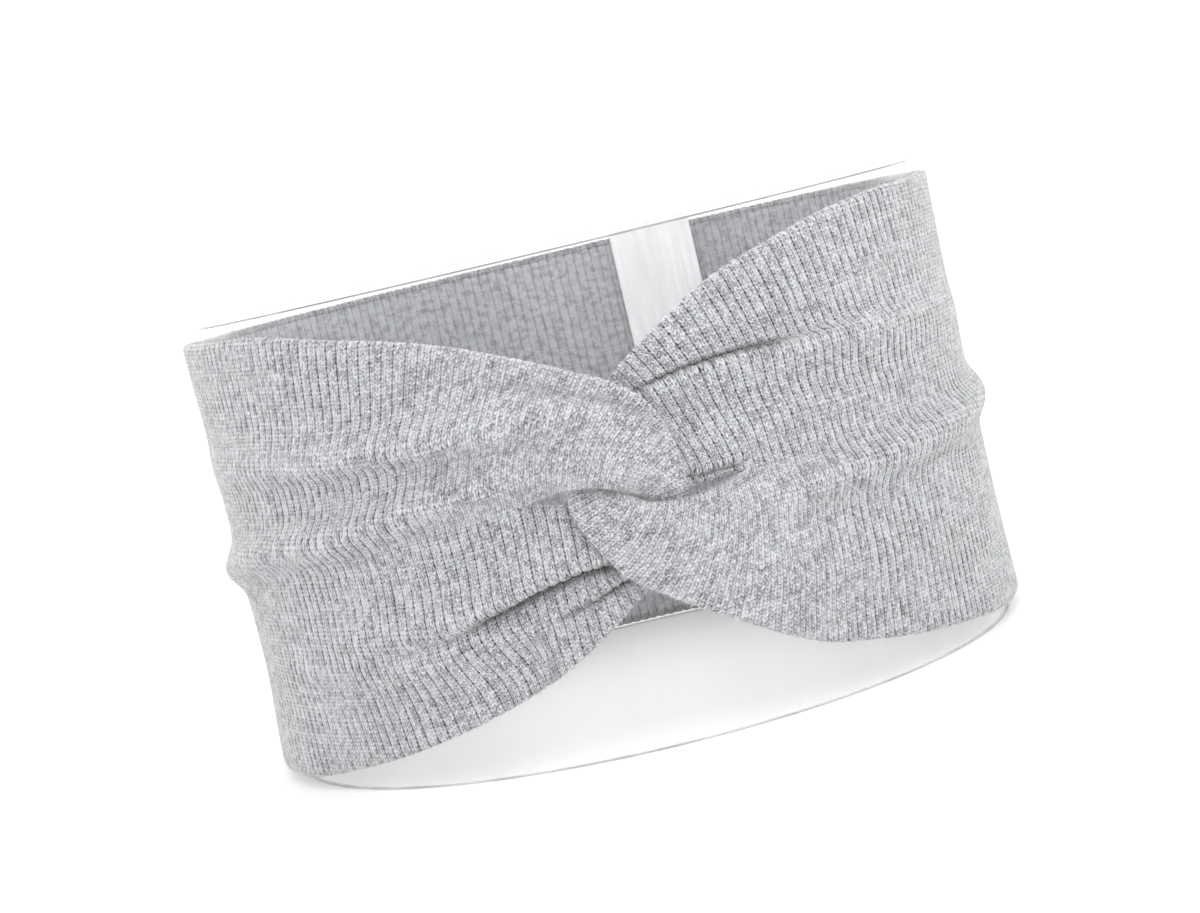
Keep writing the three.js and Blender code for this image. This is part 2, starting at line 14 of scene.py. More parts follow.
import bpy
import numpy as np
from bpy.types import Material, Node, NodeSocket, NodeTree, Object
from mathutils import Matrix, Vector
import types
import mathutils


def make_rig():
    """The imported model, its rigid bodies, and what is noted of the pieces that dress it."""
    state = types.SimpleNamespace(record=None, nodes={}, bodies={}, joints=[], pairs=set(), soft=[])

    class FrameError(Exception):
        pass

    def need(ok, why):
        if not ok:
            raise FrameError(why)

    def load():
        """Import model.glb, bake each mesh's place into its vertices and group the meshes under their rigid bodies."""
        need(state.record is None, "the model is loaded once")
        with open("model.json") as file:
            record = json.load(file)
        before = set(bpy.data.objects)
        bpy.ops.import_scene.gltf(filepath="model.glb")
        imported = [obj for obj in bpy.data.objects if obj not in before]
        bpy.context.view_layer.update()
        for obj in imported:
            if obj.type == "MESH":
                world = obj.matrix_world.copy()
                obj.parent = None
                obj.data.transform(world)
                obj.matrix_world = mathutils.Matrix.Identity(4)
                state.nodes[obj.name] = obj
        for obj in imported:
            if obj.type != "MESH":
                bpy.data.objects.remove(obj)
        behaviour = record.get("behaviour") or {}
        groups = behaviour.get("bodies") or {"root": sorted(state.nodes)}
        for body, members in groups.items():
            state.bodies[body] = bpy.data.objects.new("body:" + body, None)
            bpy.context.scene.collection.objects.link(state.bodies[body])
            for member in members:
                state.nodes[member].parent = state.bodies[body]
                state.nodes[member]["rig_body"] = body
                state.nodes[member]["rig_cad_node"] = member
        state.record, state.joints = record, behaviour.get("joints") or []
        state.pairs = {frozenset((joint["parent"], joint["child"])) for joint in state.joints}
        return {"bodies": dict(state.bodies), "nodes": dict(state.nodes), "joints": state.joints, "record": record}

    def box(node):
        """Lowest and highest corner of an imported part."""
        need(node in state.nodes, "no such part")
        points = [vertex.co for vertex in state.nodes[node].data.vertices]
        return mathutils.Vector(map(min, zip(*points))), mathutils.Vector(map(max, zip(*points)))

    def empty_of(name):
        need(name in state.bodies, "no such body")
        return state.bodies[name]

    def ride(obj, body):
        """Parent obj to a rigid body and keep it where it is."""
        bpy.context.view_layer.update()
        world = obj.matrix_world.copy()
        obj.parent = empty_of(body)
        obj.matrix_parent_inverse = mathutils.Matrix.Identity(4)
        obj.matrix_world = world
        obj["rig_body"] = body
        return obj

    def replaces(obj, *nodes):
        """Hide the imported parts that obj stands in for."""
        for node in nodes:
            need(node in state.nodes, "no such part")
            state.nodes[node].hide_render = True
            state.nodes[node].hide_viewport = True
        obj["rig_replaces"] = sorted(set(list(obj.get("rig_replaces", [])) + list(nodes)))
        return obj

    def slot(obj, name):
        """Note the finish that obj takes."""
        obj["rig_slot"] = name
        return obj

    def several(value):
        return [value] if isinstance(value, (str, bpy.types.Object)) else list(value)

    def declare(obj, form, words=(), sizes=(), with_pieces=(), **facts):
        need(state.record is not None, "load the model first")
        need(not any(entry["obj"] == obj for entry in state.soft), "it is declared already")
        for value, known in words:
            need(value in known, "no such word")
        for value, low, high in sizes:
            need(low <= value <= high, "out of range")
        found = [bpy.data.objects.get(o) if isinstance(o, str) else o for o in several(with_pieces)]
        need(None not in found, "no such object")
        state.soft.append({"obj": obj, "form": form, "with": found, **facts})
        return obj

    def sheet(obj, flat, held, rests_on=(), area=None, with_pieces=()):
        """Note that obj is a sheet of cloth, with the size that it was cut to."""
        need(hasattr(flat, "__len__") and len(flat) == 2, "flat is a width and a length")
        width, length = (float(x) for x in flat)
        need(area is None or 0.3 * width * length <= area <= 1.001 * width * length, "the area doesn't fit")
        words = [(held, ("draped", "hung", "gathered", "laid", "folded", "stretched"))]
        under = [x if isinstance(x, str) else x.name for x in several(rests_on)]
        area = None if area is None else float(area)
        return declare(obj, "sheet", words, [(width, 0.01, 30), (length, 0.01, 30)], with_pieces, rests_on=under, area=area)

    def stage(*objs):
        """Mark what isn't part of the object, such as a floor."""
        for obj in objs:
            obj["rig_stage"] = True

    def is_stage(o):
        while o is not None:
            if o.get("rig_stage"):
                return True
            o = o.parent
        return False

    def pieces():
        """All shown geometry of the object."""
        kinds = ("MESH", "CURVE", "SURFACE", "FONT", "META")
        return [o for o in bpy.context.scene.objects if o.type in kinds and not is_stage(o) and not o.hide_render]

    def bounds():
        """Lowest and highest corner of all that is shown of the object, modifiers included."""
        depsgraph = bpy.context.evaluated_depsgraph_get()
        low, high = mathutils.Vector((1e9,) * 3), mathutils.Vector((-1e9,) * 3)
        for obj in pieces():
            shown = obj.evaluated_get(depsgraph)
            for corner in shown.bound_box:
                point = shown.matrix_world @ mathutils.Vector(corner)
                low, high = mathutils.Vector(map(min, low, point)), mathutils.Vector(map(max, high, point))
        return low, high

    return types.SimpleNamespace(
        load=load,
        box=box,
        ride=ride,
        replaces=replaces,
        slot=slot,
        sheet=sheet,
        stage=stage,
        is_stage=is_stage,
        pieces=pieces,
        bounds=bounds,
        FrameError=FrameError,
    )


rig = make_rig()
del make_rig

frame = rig.load()
CAD_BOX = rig.bounds()
RING_LOW, RING_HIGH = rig.box("display_hoop")
CENTRE = np.array(RING_LOW + RING_HIGH) / 2.0

LOG = logging.getLogger("headband")
MM = 0.001
SIZE_FILE = "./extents.json"
RING_RADIUS = 86.0
RING_HEIGHT = 107.0
RING_WALL = 0.8
CHART_RADIUS = 89.0
SEAM = math.pi * CHART_RADIUS
HALF_THICKNESS = 1.15
LOWEST_LIFT = 1.5
LEAN_LINEAR = 0.35
WELD_STEPS = 2000.0
SHARP_ANGLE = 40.0
Array = np.ndarray


class Face(Enum):
    """The face of the knit that a grid lies on: away from the ring or towards it."""

    OUTER = 1
    INNER = -1


class Hold(Enum):
    """How a piece of cloth is held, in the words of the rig."""

    STRETCHED = "stretched"


@dataclass(frozen=True)
class Fold:
    """A ridge or dent along an end of the band, that falls off on each side as a bell curve.

    An overhanging crest starts so far back that it leans onto its listed place. Under a crest
    that falls off steeply, painted shade darkens the colour along its foot.

    Args:
        is_top: whether it is on the top side of the end, or else on the low one.
        overhang: how far its crest leans over its outer side for each millimetre of its height.
        knots: its table, rows of: row across height in_width out_width.
        narrowest: least reach of its bell curve, the packed solid's is wider.
        steep_reach: a reach shorter than this makes it steep.
        crease_shade_reach: reach of the painted shade under a steep crest, for each millimetre of its height.
    """

    is_top: bool
    overhang: float
    knots: list[list[float]]
    narrowest: float = 0.3
    steep_reach: float = 1.3
    crease_shade_reach: float = 0.65

    def at(self, rows: Array) -> Array:
        """Place across, height, inner and outer reach at rows counted from the seam."""
        table = np.array(self.knots)
        return smooth_curve(table[:, 0], table[:, 1:], rows)

    def is_steep(self) -> bool:
        """Whether it falls off steeply somewhere."""
        return min(min(knot[3:]) for knot in self.knots) <= self.steep_reach

    def shape(self, rows: Array, width: Array, signed: Array) -> tuple[Array, Array]:
        """Its share of the lift and of the crease.

        Args:
            rows: rows counted from the seam on its side, (n, m).
            width: width of the side at each row, (n, m).
            signed: places across, negative on the low side, (n, m).

        Returns:
            The share of the lift and the share of painted shade, (n, m) each.
        """
        value = self.at(rows)
        height, lean = value[..., 1], self.overhang * np.abs(value[..., 1])
        distance = (signed - value[..., 0]) * width
        outward = (distance if self.is_top else -distance) + lean
        reach = np.where(outward > 0.0, value[..., 3], value[..., 2])
        rise = height * np.exp(-((outward / np.maximum(self.narrowest, reach)) ** 2))
        if not self.is_steep():
            return rise, np.zeros_like(rise)
        is_outer_steep = min(knot[4] for knot in self.knots) < self.steep_reach
        beyond = outward if is_outer_steep else -outward
        steep = 1.0 - smooth_step(np.minimum(value[..., 2], value[..., 3]) - self.steep_reach)
        fade = np.maximum(self.crease_shade_reach * height, 0.1)
        # painted shade: full just below the crest's foot, fading over a reach that grows with its height
        crease = smooth_step(beyond / 0.4) * (1.0 - smooth_step((beyond - lean - HALF_THICKNESS) / fade))
        return rise, crease * steep * np.clip(height / 2.0, 0.0, 1.0)


# Rows of a run: s z top_s top_z low_s low_z lift top_mid top_lift low_mid low_lift
LEFT_RUN = np.array([
    [-SEAM, 0, -SEAM, 50.3, -SEAM, -53.1, 1.5, 1.5, 1.5, 1.5, 1.5],
    [-220, 0, -220, 50.3, -220, -52.7, 1.5, 1.5, 1.5, 1.5, 1.5],
    [-160, 0, -159, 50.3, -159, -51.6, 1.8, 1.8, 2.4, 1.7, 2.6],
    [-125, 0.2, -122, 50.3, -122, -50.9, 2.4, 2.5, 3.0, 2.1, 3.4],
    [-101, 0.2, -98, 50.0, -98, -50.6, 1.8, 1.9, 2.4, 1.7, 2.6],
    [-81, 0.2, -76, 49.0, -77, -48.1, 1.5, 1.6, 1.8, 1.5, 1.7],
    [-62, 0.2, -56, 45.6, -58, -45.1, 1.5, 1.7, 1.7, 1.5, 1.6],
    [-47, 0.4, -38.7, 42.2, -43, -41.6, 1.7, 2.2, 2.0, 1.6, 1.6],
    [-36, 0.9, -26.2, 38.7, -31.7, -38.3, 2.0, 3.0, 2.6, 1.7, 1.6],
    [-26.8, 1.9, -16.5, 34.9, -23.9, -35.5, 2.4, 4.0, 3.4, 1.8, 1.7],
    [-19.3, 3.1, -8.4, 31.4, -17.8, -32.9, 2.9, 5.2, 4.4, 1.8, 1.7],
])
RIGHT_RUN = np.array([
    [SEAM, 0, SEAM, 50.3, SEAM, -53.1, 1.5, 1.5, 1.5, 1.5, 1.5],
    [220, 0, 220, 50.3, 220, -52.7, 1.5, 1.5, 1.5, 1.5, 1.5],
    [160, 0, 159, 50.3, 159, -51.6, 1.5, 1.5, 1.8, 1.5, 1.8],
    [125, -0.2, 123, 50.2, 123, -50.3, 1.5, 1.5, 2.0, 1.5, 2.0],
    [101, -0.4, 99, 49.9, 99, -49.6, 1.5, 1.5, 1.8, 1.5, 1.8],
    [82.6, -0.4, 79.9, 49.4, 80.9, -47.9, 1.5, 1.5, 1.6, 1.6, 1.6],
    [66.4, -0.3, 60.5, 47.5, 63.6, -45.8, 1.5, 1.5, 1.5, 1.8, 1.6],
    [53.2, -0.1, 45.0, 44.2, 49.5, -43.1, 1.6, 1.6, 1.5, 2.2, 1.8],
    [43.0, 0, 33.7, 41.2, 38.6, -40.5, 1.9, 1.7, 1.6, 3.0, 2.3],
    [34.8, 0, 25.5, 37.8, 29.7, -36.4, 2.4, 1.8, 1.6, 4.0, 3.1],
    [28.2, -0.2, 17.8, 33.5, 21.9, -31.8, 3.0, 1.9, 1.7, 5.2, 4.2],
])

# Rows of a loop: in_s in_z out_s out_z in_lift mid_lift out_lift
LEFT_LOOP = np.array([
    [-13.6, 4.2, -2.0, 28.2, 4.2, 6.4, 5.5],
    [-8.1, 4.6, 4.1, 25.0, 5.8, 7.6, 6.4],
    [-3.3, 4.1, 9.4, 20.6, 6.9, 8.2, 6.9],
    [0.5, 2.8, 12.6, 15.7, 7.0, 8.2, 6.9],
    [3.2, 1.4, 14.4, 9.7, 5.8, 7.3, 6.4],
    [5.4, -0.4, 15.4, 3.4, 4.2, 5.4, 5.2],
    [6.9, -2.7, 15.3, -3.5, 2.8, 3.1, 3.1],
    [7.0, -5.2, 13.2, -9.9, 2.0, 2.0, 2.0],
    [4.5, -6.6, 8.9, -15.2, 1.7, 1.7, 1.7],
    [0.5, -6.0, 3.6, -19.2, 1.6, 1.6, 1.6],
    [-4.0, -2.6, -1.6, -22.8, 1.6, 1.6, 1.6],
    [-8.5, 0.7, -7.1, -26.8, 1.7, 1.7, 1.7],
    [-14.0, 2.4, -12.7, -30.2, 2.2, 1.8, 1.7],
])
RIGHT_LOOP = np.array([
    [23.0, -0.5, 11.7, 29.8, 2.2, 1.8, 1.7],
    [17.6, -0.9, 7.1, 26.6, 1.7, 1.7, 1.6],
    [12.0, 0.9, 2.0, 22.9, 1.6, 1.6, 1.6],
    [7.0, 4.6, -2.6, 19.3, 1.6, 1.6, 1.6],
    [2.6, 7.4, -6.5, 14.1, 1.7, 1.7, 1.7],
    [-0.6, 6.8, -8.7, 8.5, 2.0, 2.0, 2.0],
    [-1.0, 4.5, -9.2, 3.2, 2.8, 3.1, 3.1],
    [0.6, 2.4, -8.6, -1.4, 4.2, 5.4, 5.2],
    [2.9, 1.1, -6.7, -5.6, 5.8, 7.3, 6.4],
    [5.8, -0.8, -4.2, -10.4, 7.0, 8.2, 6.9],
    [9.9, -1.9, -0.8, -15.5, 6.9, 8.2, 6.9],
    [15.2, -2.4, 4.5, -20.0, 5.8, 7.6, 6.4],
    [21.9, -1.9, 12.4, -25.6, 4.2, 6.4, 5.5],
])

LEFT_FOLDS = [
    Fold(True, 0.0, [
        [0, 0.0, 0, 5, 5], [1.6, -0.06, 0.8, 5, 5], [3.1, -0.06, 3.5, 3.8, 4.5],
        [4, 0.005, 3.7, 3.5, 4], [6, 0.075, 4.0, 3.5, 4.2], [7.5, 0.165, 3.8, 3.8, 4],
        [9.7, 0.21, 3.0, 4, 4], [11.4, 0.235, 1.6, 4, 4.5], [13.2, 0.325, 0.5, 4, 4],
        [14.6, 0.45, 0, 4, 4],
    ]),
    Fold(True, 0.0, [
        [2, 0.4, 0, 4, 6], [4, 0.4, 1.2, 3.4, 6], [6, 0.435, 3.2, 2.8, 5],
        [7.3, 0.48, 3.9, 2.6, 4.6], [9.3, 0.56, 3.4, 2.6, 4.6], [10.7, 0.64, 2.2, 3, 4],
        [12.2, 0.7, 1.2, 3, 3], [14, 0.76, 0, 3, 3],
    ]),
    Fold(True, 0.0, [
        [7.5, 0.82, 0, 3, 2], [9.5, 0.82, -0.8, 2.6, 2], [11, 0.815, -1.5, 2.2, 1.8],
        [12.6, 0.85, -1.8, 2, 1.6], [14.1, 0.9, -1.8, 1.8, 1.4], [15.1, 0.9, -0.9, 1.8, 1.4],
        [16, 0.94, 0, 1.8, 1.4],
    ]),
    Fold(False, 0.5, [
        [4.5, -0.42, 0, 6, 4], [6, -0.45, 1.8, 6, 3.5], [7.5, -0.475, 3.0, 5.5, 2.5],
        [8.5, -0.47, 3.8, 6, 1.3], [9.3, -0.463, 4.1, 6, 0.9], [11.6, -0.443, 3.8, 6, 0.8],
        [12.8, -0.425, 3.0, 5, 0.8],
        [14, -0.38, 0.3, 4, 0.8], [14.6, -0.38, 0, 4, 0.8],
    ]),
    Fold(False, 0.5, [
        [9.6, -0.67, 0, 4, 1.5], [11, -0.67, 1.0, 3.6, 1.2], [12, -0.665, 2.0, 3.4, 0.9],
        [12.8, -0.65, 2.8, 3.2, 0.7], [13.6, -0.635, 2.6, 3, 0.7], [14.6, -0.62, 0, 3, 0.7],
    ]),
    Fold(False, 0.0, [
        [3.5, -0.5, 0, 3, 6], [5, -0.53, 1.0, 3, 6], [6.5, -0.58, 1.6, 3, 5],
        [8, -0.62, 1.0, 3, 5], [9.5, -0.65, 0, 3, 5],
    ]),
]
RIGHT_FOLDS = [
    Fold(True, 0.6, [
        [2.2, 0.33, 0, 5, 5], [4.7, 0.4, 1.5, 5, 4.5], [6.2, 0.455, 2.6, 4.5, 3.2],
        [7.9, 0.535, 2.7, 4.5, 1.6], [9, 0.6, 2.4, 4.5, 0.9], [10.4, 0.69, 2.0, 4, 0.8],
        [11.6, 0.75, 1.6, 3.5, 0.8], [13, 0.8, 0, 3, 0.8],
    ]),
    Fold(True, 0.0, [
        [4, 0.17, 0, 3, 3], [6, 0.17, 0.6, 3.5, 3.5], [8, 0.2, 0.9, 3.5, 3.5],
        [10, 0.24, 0.5, 3.5, 3.5], [11.5, 0.3, 0, 3, 3],
    ]),
    Fold(True, 0.0, [
        [9.6, 0.08, 0, 0.3, 4], [10.1, 0.085, 1.2, 0.3, 7], [11.2, 0.105, 1.6, 0.3, 7],
        [12.1, 0.13, 1.6, 0.3, 7], [13, 0.14, 1.0, 0.3, 7], [14, 0.14, 0, 0.3, 4],
    ]),
    Fold(False, 0.0, [
        [0, 0.0, 0, 5, 5], [1.6, -0.01, 0.6, 5, 5], [3, -0.04, 3.0, 3.8, 4.5],
        [5, -0.105, 3.6, 4, 4.5], [6.3, -0.135, 3.7, 4, 4.5], [8.2, -0.17, 3.1, 4, 4.5],
        [9.6, -0.205, 2.1, 4, 5], [11.2, -0.22, 0.8, 4, 5], [13, -0.34, 0, 4, 4],
    ]),
    Fold(False, 0.0, [
        [5, -0.6, 0, 8, 7], [7.5, -0.62, 1.0, 8, 7], [9.5, -0.66, 0.9, 7, 6],
        [12, -0.7, 0, 5, 5],
    ]),
]


def smooth_step(x: Array) -> Array:
    """A smooth step from 0 to 1, three x squared less two x cubed."""
    x = np.clip(x, 0.0, 1.0)
    return x * x * (3.0 - 2.0 * x)


def smooth_curve(knots: Array, values: Array, at: Array) -> Array:
    """Cubic through the values, its slope at a knot the mean of the secants weighed by distance.

    Args:
        knots: increasing places, (n,).
        values: one row of values for each knot, (n, k).
        at: places to read the curve at, held inside the knots.

    Returns:
        One row of values for each place in at.
    """
    step = np.diff(knots)[:, None]
    secant = np.diff(values, axis=0) / step
    slope = np.empty_like(values)
    slope[1:-1] = (secant[:-1] * step[1:] + secant[1:] * step[:-1]) / (step[:-1] + step[1:])
    slope[0], slope[-1] = secant[0], secant[-1]
    at = np.clip(at, knots[0], knots[-1])
    i = np.clip(np.searchsorted(knots, at, side="right") - 1, 0, len(knots) - 2)
    span = (knots[i + 1] - knots[i])[..., None]
    u = (at - knots[i])[..., None] / span
    rise = u * u * (3.0 - 2.0 * u)
    level = values[i] * (1.0 - rise) + values[i + 1] * rise
    return level + span * u * (1.0 - u) * (slope[i] * (1.0 - u) - slope[i + 1] * u)


def chart_to_space(chart: Array) -> Array:
    """Points round the ring's axis: radius is the ring's plus lift, angle is s over the chart's."""
    radius = RING_RADIUS + chart[..., 2]
    angle = chart[..., 0] / CHART_RADIUS
    return np.stack([radius * np.sin(angle), -radius * np.cos(angle), chart[..., 1]], axis=-1)


def weld(blocks: list[Array]) -> tuple[Array, list[Array]]:
    """Makes one list of vertices out of grids that meet at equal points.

    Args:
        blocks: grids of points in millimetres, each (n, m, 3).

    Returns:
        The single points, and for each grid the numbers of its vertices, (n, m).
    """
    points = np.concatenate([block.reshape(-1, 3) for block in blocks])
    keys = np.round(points * WELD_STEPS).astype(np.int64)
    _, first, back = np.unique(keys, axis=0, return_index=True, return_inverse=True)
    ends = np.cumsum([block.shape[0] * block.shape[1] for block in blocks])[:-1]
    parts = np.split(back.ravel(), ends)
    return points[first], [part.reshape(block.shape[:2]) for part, block in zip(parts, blocks)]


def corners(grid: Array) -> Array:
    """The values at the four corners of each cell of a grid, one row of four for each cell."""
    four = [grid[:-1, :-1], grid[1:, :-1], grid[1:, 1:], grid[:-1, 1:]]
    return np.stack(four, axis=2).reshape(-1, 4, *grid.shape[2:])


def unit(vectors: Array) -> Array:
    """The vectors at length one."""
    return vectors / np.maximum(np.linalg.norm(vectors, axis=-1, keepdims=True), 1e-12)


def vertex_normals(points: Array, quads: Array) -> Array:
    """Unit normals, each the sum of the cross products of the diagonals of the faces around."""
    a, b, c, d = (points[quads[:, k]] for k in range(4))
    across = np.cross(c - a, d - b)
    return unit(np.stack([
        np.bincount(quads.ravel(), np.repeat(across[:, k], 4), len(points)) for k in range(3)
    ], axis=-1))


def linked(name: str, data: bpy.types.ID) -> Object:
    """A new object of the given data, linked to the scene."""
    made = bpy.data.objects.new(name, data)
    bpy.context.scene.collection.objects.link(made)
    return made


def new_piece(name: str, points: Array, faces: list, finishes: list[Material]) -> Object:
    """Makes a piece that rides on the root body.

    Args:
        name: the piece's name.
        points: its corners in millimetres round the ring's middle, (n, 3).
        faces: corner numbers for each face.
        finishes: its materials.

    Returns:
        The new object.
    """
    mesh = bpy.data.meshes.new(name)
    mesh.from_pydata((points * MM + CENTRE).tolist(), [], faces)
    for finish in finishes:
        mesh.materials.append(finish)
    mesh.update()
    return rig.ride(linked(name, mesh), "root")


def solid_piece(name: str, points: Array, quads: Array, finishes: list[Material],
                which: Array) -> Object:
    """Makes a closed piece that is smooth but for its sharp edges.

    Args:
        name: the piece's name.
        points: its corners in millimetres round the ring's middle, (n, 3).
        quads: four corner numbers for each face.
        finishes: its materials.
        which: the number of each face's material.

    Returns:
        The new object.
    """
    piece = new_piece(name, points, quads.tolist(), finishes)
    piece.data.polygons.foreach_set("material_index", which.astype(np.int32))
    piece.data.shade_smooth()
    piece.data.set_sharp_from_angle(angle=math.radians(SHARP_ANGLE))
    piece.data.update()
    return piece


@dataclass
class Patch:
    """A grid of the knit: points, rib counts, millimetres along the ribs, and its two shades.

    Pulled is the share by which the knit is pulled smooth, crease the share of painted shade under steep folds.
    """

    points: Array
    ribs: Array
    lengths: Array
    pulled: Array
    crease: Array

    def columns(self, pick: Array) -> "Patch":
        """The grid's columns with the given numbers."""
        return Patch(*(values[:, pick] for values in vars(self).values()))

    @staticmethod
    def joined(parts: list["Patch"]) -> "Patch":
        """Grids side by side as one."""
        return Patch(*(np.concatenate(values, axis=1) for values in
                       zip(*(vars(part).values() for part in parts))))

    @staticmethod
    def piece(name: str, patches: list["Patch"], is_turned: bool, finish: Material) -> Object:
        """Makes a smooth piece of welded grids, with the knit's own coordinates as its UV map.

        Args:
            name: the piece's name.
            patches: its grids.
            is_turned: whether the faces are turned over to point outwards.
            finish: its material.

        Returns:
            The new object.
        """
        points, numbers = weld([patch.points for patch in patches])
        quads = np.concatenate([corners(block) for block in numbers])
        uv = np.concatenate([corners(np.stack([patch.ribs, patch.lengths], axis=-1)) for patch in patches])
        if is_turned:
            quads, uv = quads[:, ::-1], uv[:, ::-1]
        piece = new_piece(name, points, quads.tolist(), [finish])
        mesh = piece.data
        mesh.uv_layers.new(name="knit").data.foreach_set("uv", uv.astype(np.float32).ravel())
        # the second share is painted shade under steep folds, carried as a mesh attribute
        for word in ("pulled", "crease"):
            share = np.zeros(len(points), np.float32)
            for block, patch in zip(numbers, patches):
                share[block.ravel()] = getattr(patch, word).ravel()
            mesh.attributes.new(word, "FLOAT", "POINT").data.foreach_set("value", share)
        mesh.shade_smooth()
        mesh.update()
        return piece


@dataclass
class Middle:
    """A grid of the knit's middle surface, with what its two faces are made from.

    Args:
        patch: the middle surface itself.
        normals: its unit normals, away from the ring.
        half: half the knit's thickness at each point, nothing at a free edge.
        groove: depth of the grooves between the ribs.
    """

    patch: Patch
    normals: Array
    half: Array
    groove: Array

    def face(self, side: Face, first: int, final: int) -> Patch:
        """One face's columns from first to final: the middle surface moved by half its thickness."""
        step = 1 if final >= first else -1
        pick = np.arange(first, final + step, step)
        half = self.half[:, pick]
        offset = (half - self.groove[:, pick] * smooth_step(half)) * side.value
        face = self.patch.columns(pick)
        face.points = face.points + self.normals[:, pick] * offset[..., None]
        return face

    def outer(self, wrap: int) -> Patch:
        """The outer face with its edges wrapped over, wrap columns far onto the inner face."""
        last = self.half.shape[1] - 1
        return Patch.joined([self.face(Face.INNER, wrap, 1), self.face(Face.OUTER, 0, last),
                             self.face(Face.INNER, last - 1, last - wrap)])

    def inner(self, wrap: int) -> Patch:
        """The inner face between the wrapped edges."""
        return self.face(Face.INNER, self.half.shape[1] - 1 - wrap, wrap)


class Desk:
    """The nodes of one material or group, each added with its settings and inputs in one call."""

    def __init__(self, tree: NodeTree) -> None:
        """Takes the node tree to work on."""
        self.tree = tree

    def put(self, socket: NodeSocket, value: object) -> None:
        """Links a socket to another node's output, or sets its own value."""
        if isinstance(value, NodeSocket):
            self.tree.links.new(value, socket)
        else:
            socket.default_value = value

    def add(self, kind: str, inputs: dict | None = None, **settings: object) -> Node:
        """Adds a node.

        Args:
            kind: the node's type.
            inputs: sockets by name or number, each with a value or another node's output.
            settings: the node's own properties.

        Returns:
            The node.
        """
        node = self.tree.nodes.new(kind)
        for key, value in settings.items():
            setattr(node, key, value)
        for key, value in (inputs or {}).items():
            self.put(node.inputs[key], value)
        return node

    def math(self, operation: str, *numbers: object) -> NodeSocket:
        """The result of a maths node."""
        return self.add("ShaderNodeMath", dict(enumerate(numbers)), operation=operation).outputs[0]

    def times(self, first: object, second: object) -> NodeSocket:
        """The product of two numbers."""
        return self.math("MULTIPLY", first, second)

    def minus(self, first: object, second: object) -> NodeSocket:
        """The first number less the second."""
        return self.math("SUBTRACT", first, second)

    def times_plus(self, first: object, second: object, third: object) -> NodeSocket:
        """The product of two numbers, plus a third."""
        return self.math("MULTIPLY_ADD", first, second, third)

    def vector(self, operation: str, first: object, second: object) -> NodeSocket:
        """The result of a vector maths node."""
        return self.add("ShaderNodeVectorMath", {0: first, 1: second}, operation=operation).outputs[0]

    def smooth(self, value: object, low: float, high: float, start: float = 0.0,
               end: float = 1.0) -> NodeSocket:
        """A smooth step from start to end while the value goes from low to high."""
        return self.add("ShaderNodeMapRange", {
            "Value": value, "From Min": low, "From Max": high, "To Min": start, "To Max": end,
        }, interpolation_type="SMOOTHSTEP").outputs[0]

    def noise(self, place: object, stretch: tuple[float, float, float], detail: float,
              roughness: float = 0.5, output: str = "Fac") -> NodeSocket:
        """A noise whose place is stretched by a factor along each axis."""
        return self.add("ShaderNodeTexNoise", {
            "Vector": self.vector("MULTIPLY", place, stretch), "Scale": 1.0, "Detail": detail,
            "Roughness": roughness,
        }).outputs[output]

    def ramp(self, value: object, stops: list[tuple[float, tuple]]) -> NodeSocket:
        """The colour of a ramp with the given stops."""
        node = self.add("ShaderNodeValToRGB", {"Fac": value})
        elements = node.color_ramp.elements
        elements[0].position, elements[0].color = stops[0]
        elements[1].position, elements[1].color = stops[-1]
        for position, colour in stops[1:-1]:
            elements.new(position).color = colour
        return node.outputs["Color"]


class Look(Desk):
    """The nodes of a new material."""

    def __init__(self, name: str) -> None:
        """Makes the material with its shader."""
        self.material = bpy.data.materials.new(name)
        self.material.use_nodes = True
        super().__init__(self.material.node_tree)

    def place(self) -> NodeSocket:
        """The place on the object in metres."""
        return self.add("ShaderNodeTexCoord").outputs["Object"]

    def share(self, name: str) -> NodeSocket:
        """A share that the mesh carries at its points."""
        return self.add("ShaderNodeAttribute", attribute_name=name).outputs["Fac"]

    def bump(self, height: NodeSocket, strength: float, distance: float) -> NodeSocket:
        """The normal of a surface with the given height, distance being the height 1 in metres."""
        return self.add("ShaderNodeBump", {
            "Height": height, "Strength": strength, "Distance": distance,
        }).outputs["Normal"]

    def finished(self, sockets: dict[str, object]) -> Material:
        """The material, its shader's sockets linked to outputs or set to values."""
        for name, value in sockets.items():
            self.put(self.tree.nodes["Principled BSDF"].inputs[name], value)
        return self.material


def grey(level: float, blue: float = 1.02) -> tuple[float, float, float, float]:
    """A grey of the given linear level, its blue off by a factor and its green by a third of it."""
    return (level, level * (2.0 + blue) / 3.0, level * blue, 1.0)


